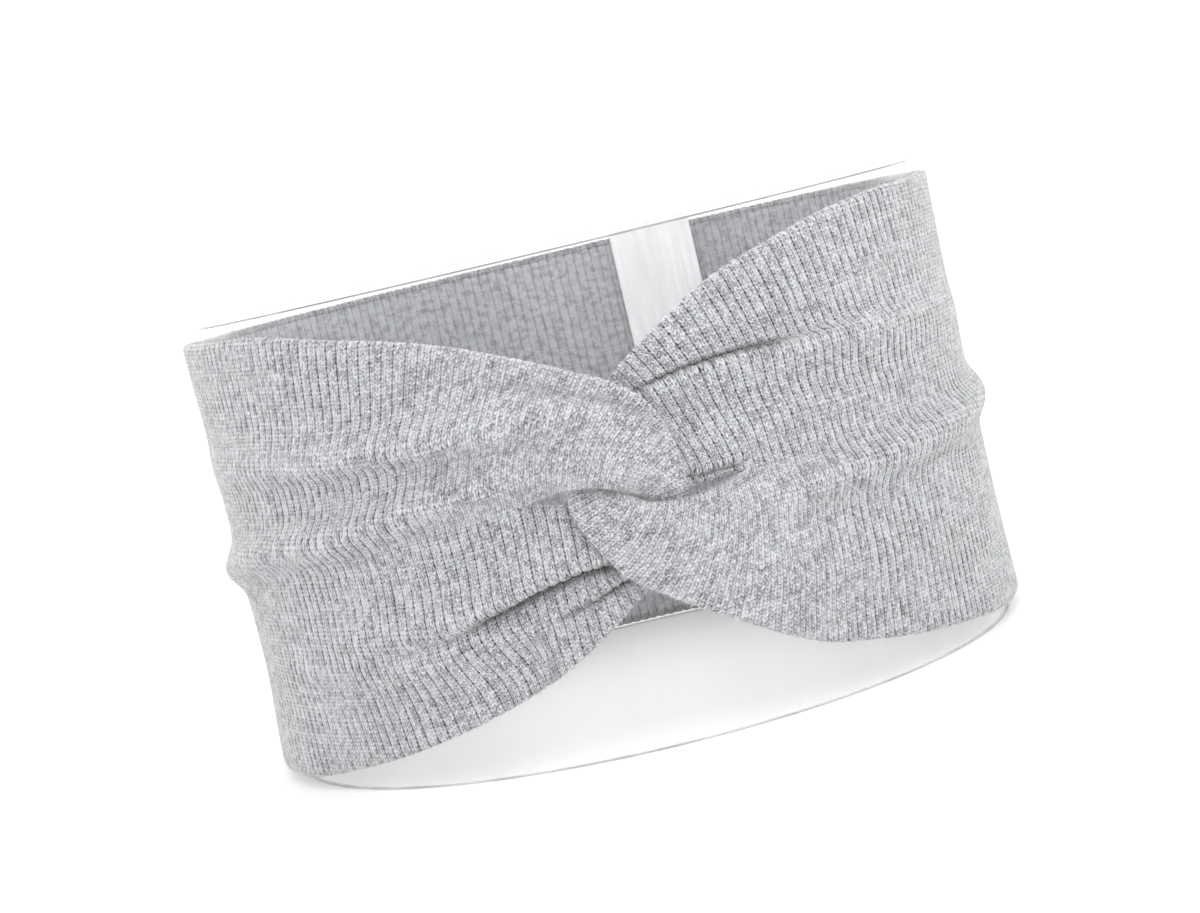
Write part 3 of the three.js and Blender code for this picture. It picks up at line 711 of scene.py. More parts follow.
@dataclass(frozen=True)
class YarnFinish:
    """The look of the rib knit: two columns of stitches on each rib and a beaded groove beside.

    Args:
        course: height of one stitch in millimetres.
        climb: how many stitches an arm of a stitch rises across its half column.
        sway: greatest wander of the ribs (in ribs) and of the stitch rows (in millimetres).
        stitch_height: height of a stitch in metres.
        groove_line: distances in ribs from a groove's middle, where it is deep and where it ends.
        middle_line: the same for the line between a rib's two columns.
        fibre_share: how much the fibres along an arm change its tone.
        arm_share: how much the tone changes from arm to arm.
        cloud_share: how much it changes over some stitches.
        streak_share: how much it changes from row to row.
        bulge_painted_light: how much lighter the middle of an arm is painted, the shading of its round strand.
        ramp_places: where the greys stand on the yarn's tone.
        outer_levels: linear greys of dark fibre, shade, middle, light and lightest yarn.
        inner_lightened_levels: the same on the inner face, lighter than the outer ones to paint in light that the
            inside of the ring lacks.
        crease_shade: how much of the colour the painted shade under steep folds takes away.
    """

    course: float = 0.9
    climb: float = 0.75
    sway: tuple[float, float, float] = (0.22, 1.3, 0.0)
    stitch_height: float = 0.00014
    groove_line: tuple[float, float] = (0.03, 0.13)
    middle_line: tuple[float, float] = (0.02, 0.10)
    fibre_share: float = 0.74
    arm_share: float = 0.09
    cloud_share: float = 0.10
    streak_share: float = 0.07
    bulge_painted_light: float = 0.12
    ramp_places: tuple[float, ...] = (0.405, 0.455, 0.49, 0.53, 0.60)
    outer_levels: tuple[float, ...] = (0.015, 0.116, 0.298, 0.474, 0.648)
    inner_lightened_levels: tuple[float, ...] = (0.30, 0.43, 0.535, 0.625, 0.725)
    crease_shade: float = 0.85

    def group(self) -> NodeTree:
        """Builds the shared node group of the yarn.

        The place is the knit's own coordinates, rib count and millimetres along the rib. Each
        rib has two columns of V stitches. An arm's number and its stitch's number pick its grey,
        and fibres run along the arm. Where the knit is pulled, the line between the two columns
        gets as deep as the groove between the ribs.

        Returns:
            A group with Height, Tone and Groove outputs, the last giving both the grooves' depth and their painted
            shade.
        """
        tree = bpy.data.node_groups.new("rib_yarn", "ShaderNodeTree")
        for name, kind in (("Place", "Vector"), ("Pulled", "Float"), ("Blotch", "Float")):
            tree.interface.new_socket(name, in_out="INPUT", socket_type=f"NodeSocket{kind}")
        for name in ("Height", "Tone", "Groove"):
            tree.interface.new_socket(name, in_out="OUTPUT", socket_type="NodeSocketFloat")
        desk = Desk(tree)
        given = desk.add("NodeGroupInput")
        raw, pulled = given.outputs["Place"], given.outputs["Pulled"]
        wander = desk.vector("SUBTRACT", desk.noise(raw, (0.13, 0.1, 0.0), 2.0, output="Color"),
                             (0.5, 0.5, 0.5))
        place = desk.vector("ADD", raw, desk.vector("MULTIPLY", wander, self.sway))
        parts = desk.add("ShaderNodeSeparateXYZ", {0: place})
        rib, along = parts.outputs["X"], parts.outputs["Y"]

        half_column = desk.math("ABSOLUTE", desk.minus(desk.math("FRACT", desk.times(rib, 2.0)), 0.5))
        stitch = desk.minus(desk.times(along, 1.0 / self.course), desk.times(half_column, 2.0 * self.climb))
        inside = desk.math("FRACT", stitch)
        strand = desk.times(desk.times(inside, desk.minus(1.0, inside)), 4.0)
        middle = desk.times(desk.times(half_column, desk.minus(0.5, half_column)), 16.0)
        round_arm = desk.times_plus(desk.math("SQRT", desk.math("MAXIMUM", middle, 0.0)), 0.6, 0.4)
        bulge = desk.times(desk.math("SQRT", strand), round_arm)

        beside = self.distance_to_line(desk, rib, 1.0)
        between = self.distance_to_line(desk, rib, 2.0)
        beads = desk.noise(place, (1.0, 1.0 / self.course, 0.0), 1.0)
        wave = desk.times_plus(desk.math("SINE", desk.times(along, 2.0 * math.pi / self.course)), 0.34, 0.5)
        bead = desk.math("ADD", wave, desk.smooth(beads, 0.3, 0.7, -0.3, 0.6))
        deep = desk.times(desk.smooth(beside, *self.groove_line, 1.0, 0.0),
                          desk.times_plus(pulled, -0.6, 1.0))
        shallow = desk.times(desk.smooth(between, *self.middle_line, 1.0, 0.0),
                             desk.times_plus(pulled, 0.22, 0.16))
        # the groove's depth sets its bump and the painted shade in it
        groove = desk.times(desk.math("MAXIMUM", deep, shallow), bead)

        arm = desk.math("FLOOR", desk.times(rib, 4.0))
        cell = desk.add("ShaderNodeTexWhiteNoise", {"Vector": desk.add("ShaderNodeCombineXYZ", {
            "X": arm, "Y": desk.math("FLOOR", stitch),
        }).outputs[0]}, noise_dimensions="2D").outputs["Value"]
        fibre_place = desk.add("ShaderNodeCombineXYZ", {
            "X": desk.times(stitch, 7.0),
            "Y": desk.times_plus(arm, 3.7, desk.times(half_column, 6.5)),
        }).outputs[0]
        fibre = desk.noise(fibre_place, (1.0, 1.0, 0.0), 2.0, 0.6)
        cloud = desk.noise(place, (0.55, 0.24, 0.0), 2.0, 0.6)
        streak = desk.noise(place, (0.1, 1.5, 0.0), 2.0, 0.6)
        patch = desk.noise(place, (0.9, 0.55, 0.0), 2.0, 0.6)
        # lighter and darker patches, with painted shade beside the grooves
        uneven = desk.minus(desk.minus(patch, 0.47), desk.smooth(beside, 0.02, 0.24, 0.13, 0.0))
        tone = desk.times_plus(cell, self.arm_share, desk.times(fibre, self.fibre_share))
        tone = desk.times_plus(cloud, self.cloud_share, tone)
        tone = desk.times_plus(uneven, given.outputs["Blotch"], tone)
        tone = desk.times_plus(streak, self.streak_share, tone)
        # painted shading: the middle of each round arm lighter, its sides darker
        tone = desk.times_plus(desk.minus(bulge, 0.55), self.bulge_painted_light, tone)

        height = desk.times(bulge, desk.minus(1.0, groove))
        desk.add("NodeGroupOutput", {"Height": height, "Tone": tone, "Groove": groove})
        return tree

    def distance_to_line(self, desk: Desk, rib: NodeSocket, lines: float) -> NodeSocket:
        """Distance in ribs from the nearest of the evenly spaced lines, so many to a rib."""
        across = desk.math("FRACT", desk.times(rib, lines))
        return desk.times(desk.minus(0.5, desk.math("ABSOLUTE", desk.minus(across, 0.5))), 1.0 / lines)

    def material(self, name: str, group: NodeTree, levels: tuple[float, ...], groove_shade: float,
                 relief: float, blotch: float) -> Material:
        """One face's material.

        Args:
            name: the material's name.
            group: the shared yarn group.
            levels: five linear greys from dark fibre to lightest yarn.
            groove_shade: how much of the colour the painted shade in a groove takes away.
            relief: share of the stitch height that the bump shows.
            blotch: how strongly lighter and darker patches, and the painted shade beside the grooves, show.

        Returns:
            The material.
        """
        look = Look(name)
        yarn = look.add("ShaderNodeGroup", node_tree=group)
        look.put(yarn.inputs["Place"], look.add("ShaderNodeUVMap", uv_map="knit").outputs["UV"])
        look.put(yarn.inputs["Blotch"], blotch)
        look.put(yarn.inputs["Pulled"], look.share("pulled"))
        colour = look.ramp(yarn.outputs["Tone"], [
            (stop, grey(level, 1.095 - 0.015 * k))
            for k, (stop, level) in enumerate(zip(self.ramp_places, levels))
        ])
        # painted shade: the colour darkens towards a dark grey under steep folds and in the grooves
        clear = look.times(look.times_plus(look.share("crease"), -self.crease_shade, 1.0),
                           look.times_plus(yarn.outputs["Groove"], -groove_shade, 1.0))
        shaded = look.add("ShaderNodeMix", {"Factor": look.minus(1.0, clear)}, data_type="RGBA")
        look.put(shaded.inputs["A"], colour)
        look.put(shaded.inputs["B"], grey(levels[0] * 0.6, 1.05))
        return look.finished({
            "Base Color": shaded.outputs["Result"],
            "Normal": look.bump(yarn.outputs["Height"], 1.0, self.stitch_height * relief),
            "Roughness": 0.95, "Specular IOR Level": 0.15, "Sheen Weight": 0.55, "Sheen Roughness": 0.5,
        })


@dataclass(frozen=True)
class FilmFinish:
    """The look of the ring's clear film, more visible where it is seen at a slant.

    Args:
        haze: alpha of the wall seen straight.
        slant_haze: how much alpha the slant adds.
        straight_level: linear grey of the wall seen straight, the film's haze darkened to paint shade over the inside
            seen through it.
        slant_reflection_level: its linear grey at a slant, lighter as a painted reflection of the bright room.
        rim_alpha: alpha of the cut edge where it is clearest.
        rear_share: share of that alpha on the far half.
    """

    haze: float = 0.09
    slant_haze: float = 0.4
    straight_level: float = 0.34
    slant_reflection_level: float = 0.8
    rim_alpha: float = 0.45
    rear_share: float = 0.3

    def wall(self) -> Material:
        """The film's wall: its alpha rises from the haze with the fourth power of the slant."""
        look = Look("clear_film")
        place = look.place()
        facing = look.add("ShaderNodeLayerWeight", {"Blend": 0.5}).outputs["Facing"]
        slant = look.math("POWER", facing, 4.0)
        smear = look.noise(place, (30.0, 30.0, 6.0), 3.0)
        haze = look.smooth(smear, 0.3, 0.7, self.haze * 0.75, self.haze * 1.25)
        return look.finished({
            "Alpha": look.times_plus(slant, self.slant_haze, haze),
            "Roughness": look.smooth(smear, 0.3, 0.7, 0.04, 0.12),
            # painted reflection: the wall's grey lightens towards a slant
            "Base Color": look.ramp(slant, [
                (0.0, grey(self.straight_level, 1.03)), (0.25, grey(self.slant_reflection_level, 1.0)),
            ]),
            "IOR": 1.45,
        })

    def rim(self) -> Material:
        """The film's cut edge, where light that runs inside the film comes out."""
        look = Look("film_edge")
        place = look.place()
        nick = look.noise(place, (90.0, 90.0, 400.0), 3.0)
        parts = look.add("ShaderNodeSeparateXYZ", {0: place})
        level = look.times_plus(look.smooth(parts.outputs["Z"], 0.02, 0.08), -0.4, nick)
        near = look.smooth(parts.outputs["Y"], -0.02, 0.02, 1.0, self.rear_share)
        return look.finished({
            # painted light: a grey line stands in for the light bent at the cut edge, darker and denser on the top
            # rim, fainter on the far half
            "Base Color": look.ramp(level, [
                (0.0, grey(0.22, 0.93)), (0.3, grey(0.36, 0.94)), (0.7, grey(0.52, 0.95)),
            ]),
            "Alpha": look.times(near, look.smooth(level, 0.0, 0.6, 0.95, self.rim_alpha)),
            "Roughness": 0.2,
        })


@dataclass(frozen=True)
class TapeFinish:
    """The look of the white tape behind the ring's joint.

    Args:
        level: its linear grey.
        alpha: its middle alpha.
        wrinkle: height of its fine crinkles in metres.
    """

    level: float = 1.0
    alpha: float = 0.94
    wrinkle: float = 0.0002

    def material(self) -> Material:
        """Slightly see-through white, crinkled lengthwise and a little uneven."""
        look = Look("white_tape")
        place = look.place()
        patch = look.noise(place, (70.0, 70.0, 45.0), 4.0, 0.6)
        crinkle = look.noise(place, (500.0, 500.0, 60.0), 3.0, 0.6)
        streak = look.noise(place, (900.0, 900.0, 45.0), 3.0, 0.6)
        return look.finished({
            "Base Color": look.ramp(streak, [(0.35, grey(self.level * 0.9)), (0.65, grey(self.level))]),
            "Alpha": look.smooth(patch, 0.3, 0.7, self.alpha - 0.06, self.alpha + 0.06),
            "Normal": look.bump(crinkle, 0.5, self.wrinkle),
            "Roughness": 0.45,
        })


@dataclass(frozen=True)
class FibreFinish:
    """The look of the loose fibre ends, between a dark and a light linear grey."""

    # painted light: the fibres are lighter than the knit's yarn for the light they catch along the edges; their grey
    # also varies at random
    dark: float = 0.42
    light: float = 0.88

    def material(self) -> Material:
        """Matt fibres whose grey changes from one to the next."""
        look = Look("fibre_ends")
        tone = look.noise(look.place(), (900.0, 900.0, 900.0), 2.0, 0.6)
        middle = (self.dark + self.light) / 2.0
        return look.finished({
            "Base Color": look.ramp(tone, [(0.35, grey(self.dark)), (0.5, grey(middle)),
                                           (0.62, grey(self.light))]),
            "Roughness": 0.9, "Specular IOR Level": 0.1, "Sheen Weight": 0.3,
        })


@dataclass
class Fuzz:
    """Loose fibre ends that stand off the knit's outer face, thickest along its folded edges.

    Args:
        fibres: number of fibres on one end of the band.
        lengths: shortest and longest fibre in millimetres.
        width: width of a fibre at its root in millimetres.
        taper: its width in the middle, as a share of that.
        sunk: how deep its root sits in the knit, in millimetres.
        edge_gain: how many times denser the fibres are along the edges.
        lean: how far they lean over, as a share of their height.
        bend: how far their outer half turns off, as a share of its length.
        floor_gap: lowest height of a fibre above the floor, in millimetres.
        seed: seed of the left end's numbers, the right end has the next one.
    """

    fibres: int = 30000
    lengths: tuple[float, float] = (0.8, 2.0)
    width: float = 0.08
    taper: float = 0.7
    sunk: float = 0.12
    edge_gain: float = 3.0
    lean: float = 0.9
    bend: float = 0.7
    floor_gap: float = 0.1
    seed: int = 41

    def roots(self, grid: Array, wrap: int, rng: np.random.Generator,
              share: float) -> tuple[Array, Array]:
        """Picks places on one grid, evenly by area but denser along its edges.

        Args:
            grid: points of the outer face.
            wrap: number of its columns that wrap over each edge.
            rng: the seeded source of numbers.
            share: share of the fibres that this grid gets.

        Returns:
            The places and the normals of the grid there.
        """
        low, right = grid[:-1, :-1], grid[1:, :-1] - grid[:-1, :-1]
        up = grid[:-1, 1:] - grid[:-1, :-1]
        normal = np.cross(right, up)
        area = np.linalg.norm(normal, axis=-1)
        column = np.arange(area.shape[1])
        is_edge = np.minimum(column, column[::-1]) < 2 * wrap
        weight = (area * np.where(is_edge, self.edge_gain, 1.0)).ravel()
        picked = rng.choice(weight.size, int(self.fibres * share), p=weight / weight.sum())
        across, along = rng.random((2, len(picked), 1))
        places = low.reshape(-1, 3)[picked] + right.reshape(-1, 3)[picked] * across
        places = places + up.reshape(-1, 3)[picked] * along
        return places, (normal / np.maximum(area, 1e-9)[..., None]).reshape(-1, 3)[picked]

    def build(self, name: str, grids: list[Array], wrap: int, is_turned: bool,
              finish: Material) -> Object:
        """Makes the fibres of one end as tapering slips of two faces, bent in the middle.

        Args:
            name: the piece's name.
            grids: grids of points of the outer face.
            wrap: number of their columns that wrap over each edge.
            is_turned: whether the grids' own normals point inwards.
            finish: the fibres' finish.

        Returns:
            The piece.
        """
        rng = np.random.default_rng(self.seed + is_turned)
        size = np.array([grid[..., 0].size for grid in grids], float)
        picked = [self.roots(grid, wrap, rng, share) for grid, share in zip(grids, size / size.sum())]
        root = np.concatenate([places for places, _ in picked])
        normal = np.concatenate([normals for _, normals in picked]) * (-1.0 if is_turned else 1.0)
        count = len(root)
        length = rng.uniform(*self.lengths, (count, 1)) * rng.random((count, 1)) ** 0.5
        first = unit(normal + self.lean * rng.standard_normal((count, 3)))
        first = first * np.sign(np.sum(first * normal, axis=-1, keepdims=True) + 1e-9)
        second = unit(first + self.bend * rng.standard_normal((count, 3)))
        side = unit(np.cross(first, rng.standard_normal((count, 3)))) * self.width / 2.0
        root = root - normal * self.sunk
        middle = root + first * length / 2.0
        tip = middle + second * length / 2.0
        points = np.stack([root - side, root + side, middle + side * self.taper,
                           middle - side * self.taper, tip], axis=1)
        points[..., 2] = np.maximum(points[..., 2], self.floor_gap - RING_HEIGHT / 2.0)
        start = points.shape[1] * np.arange(count)[:, None]
        faces = (start + [0, 1, 2, 3]).tolist() + (start + [3, 2, 4]).tolist()
        piece = new_piece(name, points.reshape(-1, 3), faces, [finish])
        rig.replaces(piece, "knit_band")
        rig.slot(piece, "knit")
        return piece


@dataclass
class BandEnd:
    """One end of the knit band, from the seam at the back to its loop at the front.

    Args:
        name: the first word of its pieces' names.
        run: table of the closed part of the band.
        loop: table of its loop through the other end.
        folds: its folds.
        is_top_in_front: whether the top strand crosses over the other end, or else the low one.
        is_turned: whether its grids are turned over to face outwards.
        slide: how many rows the ribs of the low side slide towards the slit on their way to the
            edge, the row where that begins, the row where it is full, and its two places.
        first_rib: the rib count at the seam.
        run_ribs: number of ribs from the seam to the tip of the slit.
        loop_ribs: number of ribs round the loop.
        run_groove: depth of the grooves between the ribs of the run.
        loop_groove: depth of the grooves round the loop, where the knit is pulled.
        pull_ribs: number of ribs of the run over which the one depth passes into the other.
        groove_width: reach of a groove, in ribs.
        edge_scallop: how far the edge dips at each groove.
        full_pitch: width of a rib above which its groove has its full depth.
        flat_size: width and length of this end's knit before it was pulled over the ring.
        rib_steps: places of the grid's columns on each rib.
        edge_steps: distances of the grid's first rows from an edge.
        side_width: width of one side of the band that these distances are taken on.
        inner_rows: number of rows between them.
        steep_share: how many rows a steep crest gets, as a share of the side.
        steep_spread: half the part of the side that those rows fill.
        middle_fade: places over which the two sides pass into each other at the middle line.
        fine: number of samples for reading rows from lengths.
    """

    name: str
    run: Array
    loop: Array
    folds: list[Fold]
    is_top_in_front: bool
    is_turned: bool
    slide: tuple[float, float, float, float, float]
    first_rib: int
    run_ribs: int = 106
    loop_ribs: int = 31
    run_groove: float = 0.34
    loop_groove: float = 0.13
    pull_ribs: float = 14.0
    groove_width: float = 0.11
    edge_scallop: float = 0.3
    full_pitch: float = 2.2
    flat_size: tuple[float, float] = (0.1, 0.286)
    rib_steps: tuple[float, ...] = (0.0, 0.1, 0.27, 0.5, 0.73, 0.9)
    edge_steps: tuple[float, ...] = (0.0, 0.12, 0.35, 0.7, 1.15, 1.8)
    side_width: float = 50.0
    inner_rows: int = 50
    steep_share: float = 0.14
    steep_spread: float = 0.035
    middle_fade: float = 0.15
    fine: int = 4000

    def __post_init__(self) -> None:
        """Joins the rows of the run's top, the loop and the run's low side into one strip."""
        top = self.run[:, [0, 1, 2, 3, 6, 7, 8]]
        low = self.run[:, [0, 1, 4, 5, 6, 9, 10]]
        self.sections = np.concatenate([top, self.loop, low[::-1]])
        middle = (self.sections[:, 0:2] + self.sections[:, 2:4]) / 2.0
        steps = np.hypot(*np.diff(middle, axis=0).T)
        self.knots = np.concatenate([[0.0], np.cumsum(steps)])
        self.tip = len(self.run) - 1
        self.last = len(self.sections) - 1

    def at_rows(self, rows: Array) -> Array:
        """The seven values of the strip's section at each row number."""
        length = np.interp(rows, np.arange(self.last + 1), self.knots)
        return smooth_curve(self.knots, self.sections, length)

    def side_rows(self, rows: Array) -> tuple[Array, Array]:
        """Whether each row lies on the top side, and its number counted from the seam."""
        is_top = rows < self.last / 2.0
        return is_top, np.where(is_top, rows, self.last - rows)

    def chart(self, rows: Array, places: Array) -> Array:
        """Chart points of the middle surface.

        s runs from the inner to the outer edge by a straight and a squared share of the place,
        z runs straight, and lift passes through its three values by smooth steps. Each fold adds
        its rise to the lift, and an overhanging one moves z outwards by a share of its rise.

        Args:
            rows: row numbers along the strip, (n, m) or (n, 1).
            places: places across it, 0 at the inner edge and 1 at the outer, (n, m).

        Returns:
            s, z and lift in millimetres and the share of painted shade under steep folds, (n, m, 4).
        """
        at = self.at_rows(rows)
        lean = LEAN_LINEAR * places + (1.0 - LEAN_LINEAR) * places * places
        s = at[..., 0] + (at[..., 2] - at[..., 0]) * lean
        z = at[..., 1] + (at[..., 3] - at[..., 1]) * places
        lift = at[..., 4] + (at[..., 5] - at[..., 4]) * smooth_step(2.0 * places)
        lift = lift + (at[..., 6] - at[..., 5]) * smooth_step(2.0 * places - 1.0)
        width = np.hypot(at[..., 2] - at[..., 0], at[..., 3] - at[..., 1])
        is_top, count = self.side_rows(rows)
        is_open = (rows > self.tip) & (rows < self.last - self.tip)
        signed = np.where(is_top, places, -places)
        # shade: painted shade under steep folds, the largest of the folds' shares
        shade = np.zeros_like(lift)
        for fold in self.folds:
            own = (is_top if fold.is_top else ~is_top) | ~is_open
            rise, crease = fold.shape(count, width, signed)
            rise = np.where(own, rise, 0.0)
            lift = lift + rise
            z = z + fold.overhang * rise * (1.0 if fold.is_top else -1.0)
            shade = np.maximum(shade, np.where(own, crease, 0.0))
        return np.stack([s, z, np.maximum(LOWEST_LIFT, lift), shade], axis=-1)

    def gathered(self, rows: Array, places: Array) -> Array:
        """Places moved together where a fold is steep, so that its step has enough rows.

        The places are even in the sum of the place and a smooth step at each steep crest. That
        sum is turned round by halving the interval between 0 and 1 again and again.

        Args:
            rows: row numbers along the strip, (n,).
            places: the even places, (m,).

        Returns:
            The places for each row, (n, m).
        """
        is_top, count = self.side_rows(rows)
        steps = []
        for fold in self.folds:
            if not fold.is_steep():
                continue
            value = fold.at(count)
            height = np.abs(value[:, 1])
            strength = self.steep_share * np.clip(height, 0.0, 1.0) * (is_top if fold.is_top else ~is_top)
            crest = np.abs(value[:, 0]) - 0.6 * fold.overhang * height / self.side_width
            steps.append((crest[:, None], strength[:, None]))

        def total(place: Array) -> Array:
            """The sum for each row at the given places."""
            result = place.copy()
            for crest, strength in steps:
                result += strength * (np.tanh((place - crest) / self.steep_spread)
                                      + np.tanh(crest / self.steep_spread)) / 2.0
            return result

        low = np.zeros((len(rows), len(places)))
        high = np.ones_like(low)
        wanted = places[None, :] * total(high)
        for _ in range(24):
            middle = (low + high) / 2.0
            is_under = total(middle) < wanted
            low, high = np.where(is_under, middle, low), np.where(is_under, high, middle)
        return (low + high) / 2.0

    def groove(self, ribs: Array) -> Array:
        """Depth share of the groove between ribs, a bell curve round each whole rib count."""
        beside = np.abs(ribs - np.round(ribs))
        return np.exp(-((beside / self.groove_width) ** 2))

    def run_rows(self, ribs: Array, is_low: bool) -> Array:
        """Row numbers on one side of the run where its middle line has the given rib counts."""
        fine = np.linspace(0.0, self.tip, self.fine)
        rows = self.last - fine if is_low else fine
        along = SEAM - np.abs(self.at_rows(rows)[:, 0])
        target = ribs / self.run_ribs * (SEAM - abs(self.run[-1, 0]))
        return np.interp(target, along, rows)

    def loop_rows(self, ribs: Array) -> Array:
        """Row numbers round the loop at rib counts evenly spaced on a line beyond its middle."""
        fine = np.linspace(self.tip, self.last - self.tip, self.fine)
        chart = self.chart(fine[:, None], np.full((len(fine), 1), 0.6))[:, 0, :2]
        along = np.concatenate([[0.0], np.cumsum(np.hypot(*np.diff(chart, axis=0).T))])
        return np.interp(ribs / self.loop_ribs * along[-1], along, fine)

    def columns(self, count: int) -> Array:
        """Rib counts of the grid's columns, several for each rib and close to its grooves."""
        return np.append((np.arange(count)[:, None] + np.array(self.rib_steps)).ravel(), count)

    def slid(self, rows: Array, places: Array) -> Array:
        """Row numbers of the low side at each place, where its ribs slide towards the slit."""
        amount, start, full, inside, outside = self.slide
        count = self.last - rows
        along = smooth_step((count - start) / (full - start))
        along = along * smooth_step((self.tip - count) / (self.tip - full))
        return rows - amount * along * smooth_step((places - inside) / (outside - inside))

    def run_grid(self, places: Array) -> tuple[Array, Array, Array]:
        """Chart of the run, from its lower edge over the middle line to its upper edge.

        The edges dip at each groove, and both sides meet on their mean at the middle line.

        Args:
            places: places across a side.

        Returns:
            The chart, and its last columns on the top and the low side.
        """
        ribs = self.columns(self.run_ribs)
        inset = self.edge_scallop * self.groove(ribs)[:, None] / self.side_width
        rows, low_rows = self.run_rows(ribs, False), self.run_rows(ribs, True)
        top = self.chart(rows[:, None], self.gathered(rows, places) * (1.0 - inset))
        low_places = self.gathered(low_rows, places) * (1.0 - inset)
        low = self.chart(self.slid(low_rows[:, None], low_places), low_places)
        gap = (low[:, :1] - top[:, :1]) / 2.0
        fade = np.clip(1.0 - places / self.middle_fade, 0.0, 1.0)[None, :, None] ** 2
        top, low = top + gap * fade, low - gap * fade
        return np.concatenate([low[:, ::-1], top[:, 1:]], axis=1), top[-1], low[-1]

    def loop_grid(self, places: Array, start: Array, end: Array) -> Array:
        """Chart of the loop, from its inner to its outer edge, that starts and ends on the run."""
        ribs = self.columns(self.loop_ribs)
        inset = self.edge_scallop * self.groove(ribs)[:, None] / (0.6 * self.side_width)
        inner = inset * np.sin(np.pi * ribs / self.loop_ribs)[:, None] ** 0.25
        rows = self.loop_rows(ribs)
        chart = self.chart(rows[:, None], inner + self.gathered(rows, places) * (1.0 - inset - inner))
        chart[0], chart[-1] = start, end
        return chart

    def edge_distance(self, length: Array, is_loop: bool) -> Array:
        """Distance of each point from the nearest free edge, along its column.

        The inner edge of the loop is free, but at the slit's tips it passes into the whole knit.

        Args:
            length: lengths from the first row of the grid, (n, m).
            is_loop: whether this is the loop's grid.

        Returns:
            The distances in millimetres, (n, m).
        """
        from_end = length[:, -1:] - length
        if not is_loop:
            return np.minimum(length, from_end)
        from_tip = np.minimum(np.arange(len(length)), np.arange(len(length))[::-1])[:, None]
        closed = 1.0 - smooth_step(from_tip / 8.0)
        return np.minimum(length + closed * HALF_THICKNESS, from_end)

    def pull(self, ribs: Array, rows: int, is_loop: bool) -> Array:
        """How far the knit is pulled smooth: wholly on the strand in front of the twist.

        Args:
            ribs: rib counts of the grid's columns.
            rows: number of its rows.
            is_loop: whether this is the loop's grid.

        Returns:
            A share from 0 to 1 for each point.
        """
        if is_loop:
            along = ribs / ribs[-1] if self.is_top_in_front else 1.0 - ribs / ribs[-1]
            return np.repeat(1.0 - smooth_step((along - 0.6) / 0.3)[:, None], rows, axis=1)
        near = smooth_step(1.0 - (ribs[-1] - ribs) / self.pull_ribs)[:, None]
        across = np.linspace(-1.0, 1.0, rows)[None, :] * (1.0 if self.is_top_in_front else -1.0)
        return near * smooth_step(across / 0.1 + 0.5)

    def middle_surface(self, places: Array) -> list[Middle]:
        """The middle surface of the run and the loop.

        Half the thickness runs to nothing at a free edge as a quarter circle. The grooves fade
        where the ribs crowd and are shallower round the loop.

        Args:
            places: places across a side.

        Returns:
            The run's and the loop's.
        """
        run_chart, start, end = self.run_grid(places)
        charts = [run_chart, self.loop_grid(places, start, end)]
        grids = [chart_to_space(chart) for chart in charts]
        points, numbers = weld(grids)
        normals = vertex_normals(points, np.concatenate([corners(block) for block in numbers]))
        normals = -normals if self.is_turned else normals
        surface = []
        for is_loop, (grid, block) in zip((False, True), zip(grids, numbers)):
            ribs = self.columns(self.loop_ribs if is_loop else self.run_ribs)
            first_rib = self.first_rib + (self.run_ribs if is_loop else 0)
            step = np.linalg.norm(np.diff(grid, axis=1), axis=-1)
            length = np.concatenate([np.zeros((len(grid), 1)), np.cumsum(step, axis=1)], axis=1)
            near = np.minimum(self.edge_distance(length, is_loop) / HALF_THICKNESS, 1.0)
            pitch = np.linalg.norm(np.gradient(grid, axis=0), axis=-1) / np.gradient(ribs)[:, None]
            pulled = self.pull(ribs, grid.shape[1], is_loop)
            depth = self.run_groove + (self.loop_groove - self.run_groove) * pulled
            # the chart's fourth value, painted shade under steep folds, goes to the patch
            patch = Patch(grid, np.repeat(ribs[:, None] + first_rib, grid.shape[1], axis=1),
                          length if is_loop else length - length[:, len(places) - 1:len(places)],
                          pulled, charts[is_loop][..., 3])
            surface.append(Middle(
                patch, normals[block], HALF_THICKNESS * np.sqrt(np.maximum(0.0, 1.0 - (1.0 - near) ** 2)),
                depth * np.minimum(1.0, pitch / self.full_pitch) * self.groove(ribs)[:, None]))
        return surface

    def build(self, outer: Material, inner: Material, fibre: Material) -> list[Object]:
        """Makes the outer and the inner layer of this end, declared as cloth, and its fuzz.

        Args:
            outer: finish of the outer layer.
            inner: finish of the inner layer.
            fibre: finish of the loose fibre ends.

        Returns:
            The three pieces.
        """
        edge = np.array(self.edge_steps) / self.side_width
        inside = np.linspace(edge[-1], 1.0 - edge[-1], self.inner_rows)[1:-1]
        surface = self.middle_surface(np.concatenate([edge, inside, 1.0 - edge[::-1]]))
        wrap = len(edge) - 1
        outside = [grid.outer(wrap) for grid in surface]
        pieces = []
        for word, patches, finish in (("outer", outside, outer),
                                      ("inner", [grid.inner(wrap) for grid in surface], inner)):
            piece = Patch.piece(f"{self.name}_{word}_layer", patches, self.is_turned, finish)
            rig.replaces(piece, "knit_band")
            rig.slot(piece, "knit")
            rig.sheet(piece, flat=self.flat_size, held=Hold.STRETCHED.value, rests_on=["display_hoop"])
            pieces.append(piece)
        grids = [patch.points for patch in outside]
        pieces.append(Fuzz().build(f"{self.name}_fuzz", grids, wrap, self.is_turned, fibre))
        return pieces


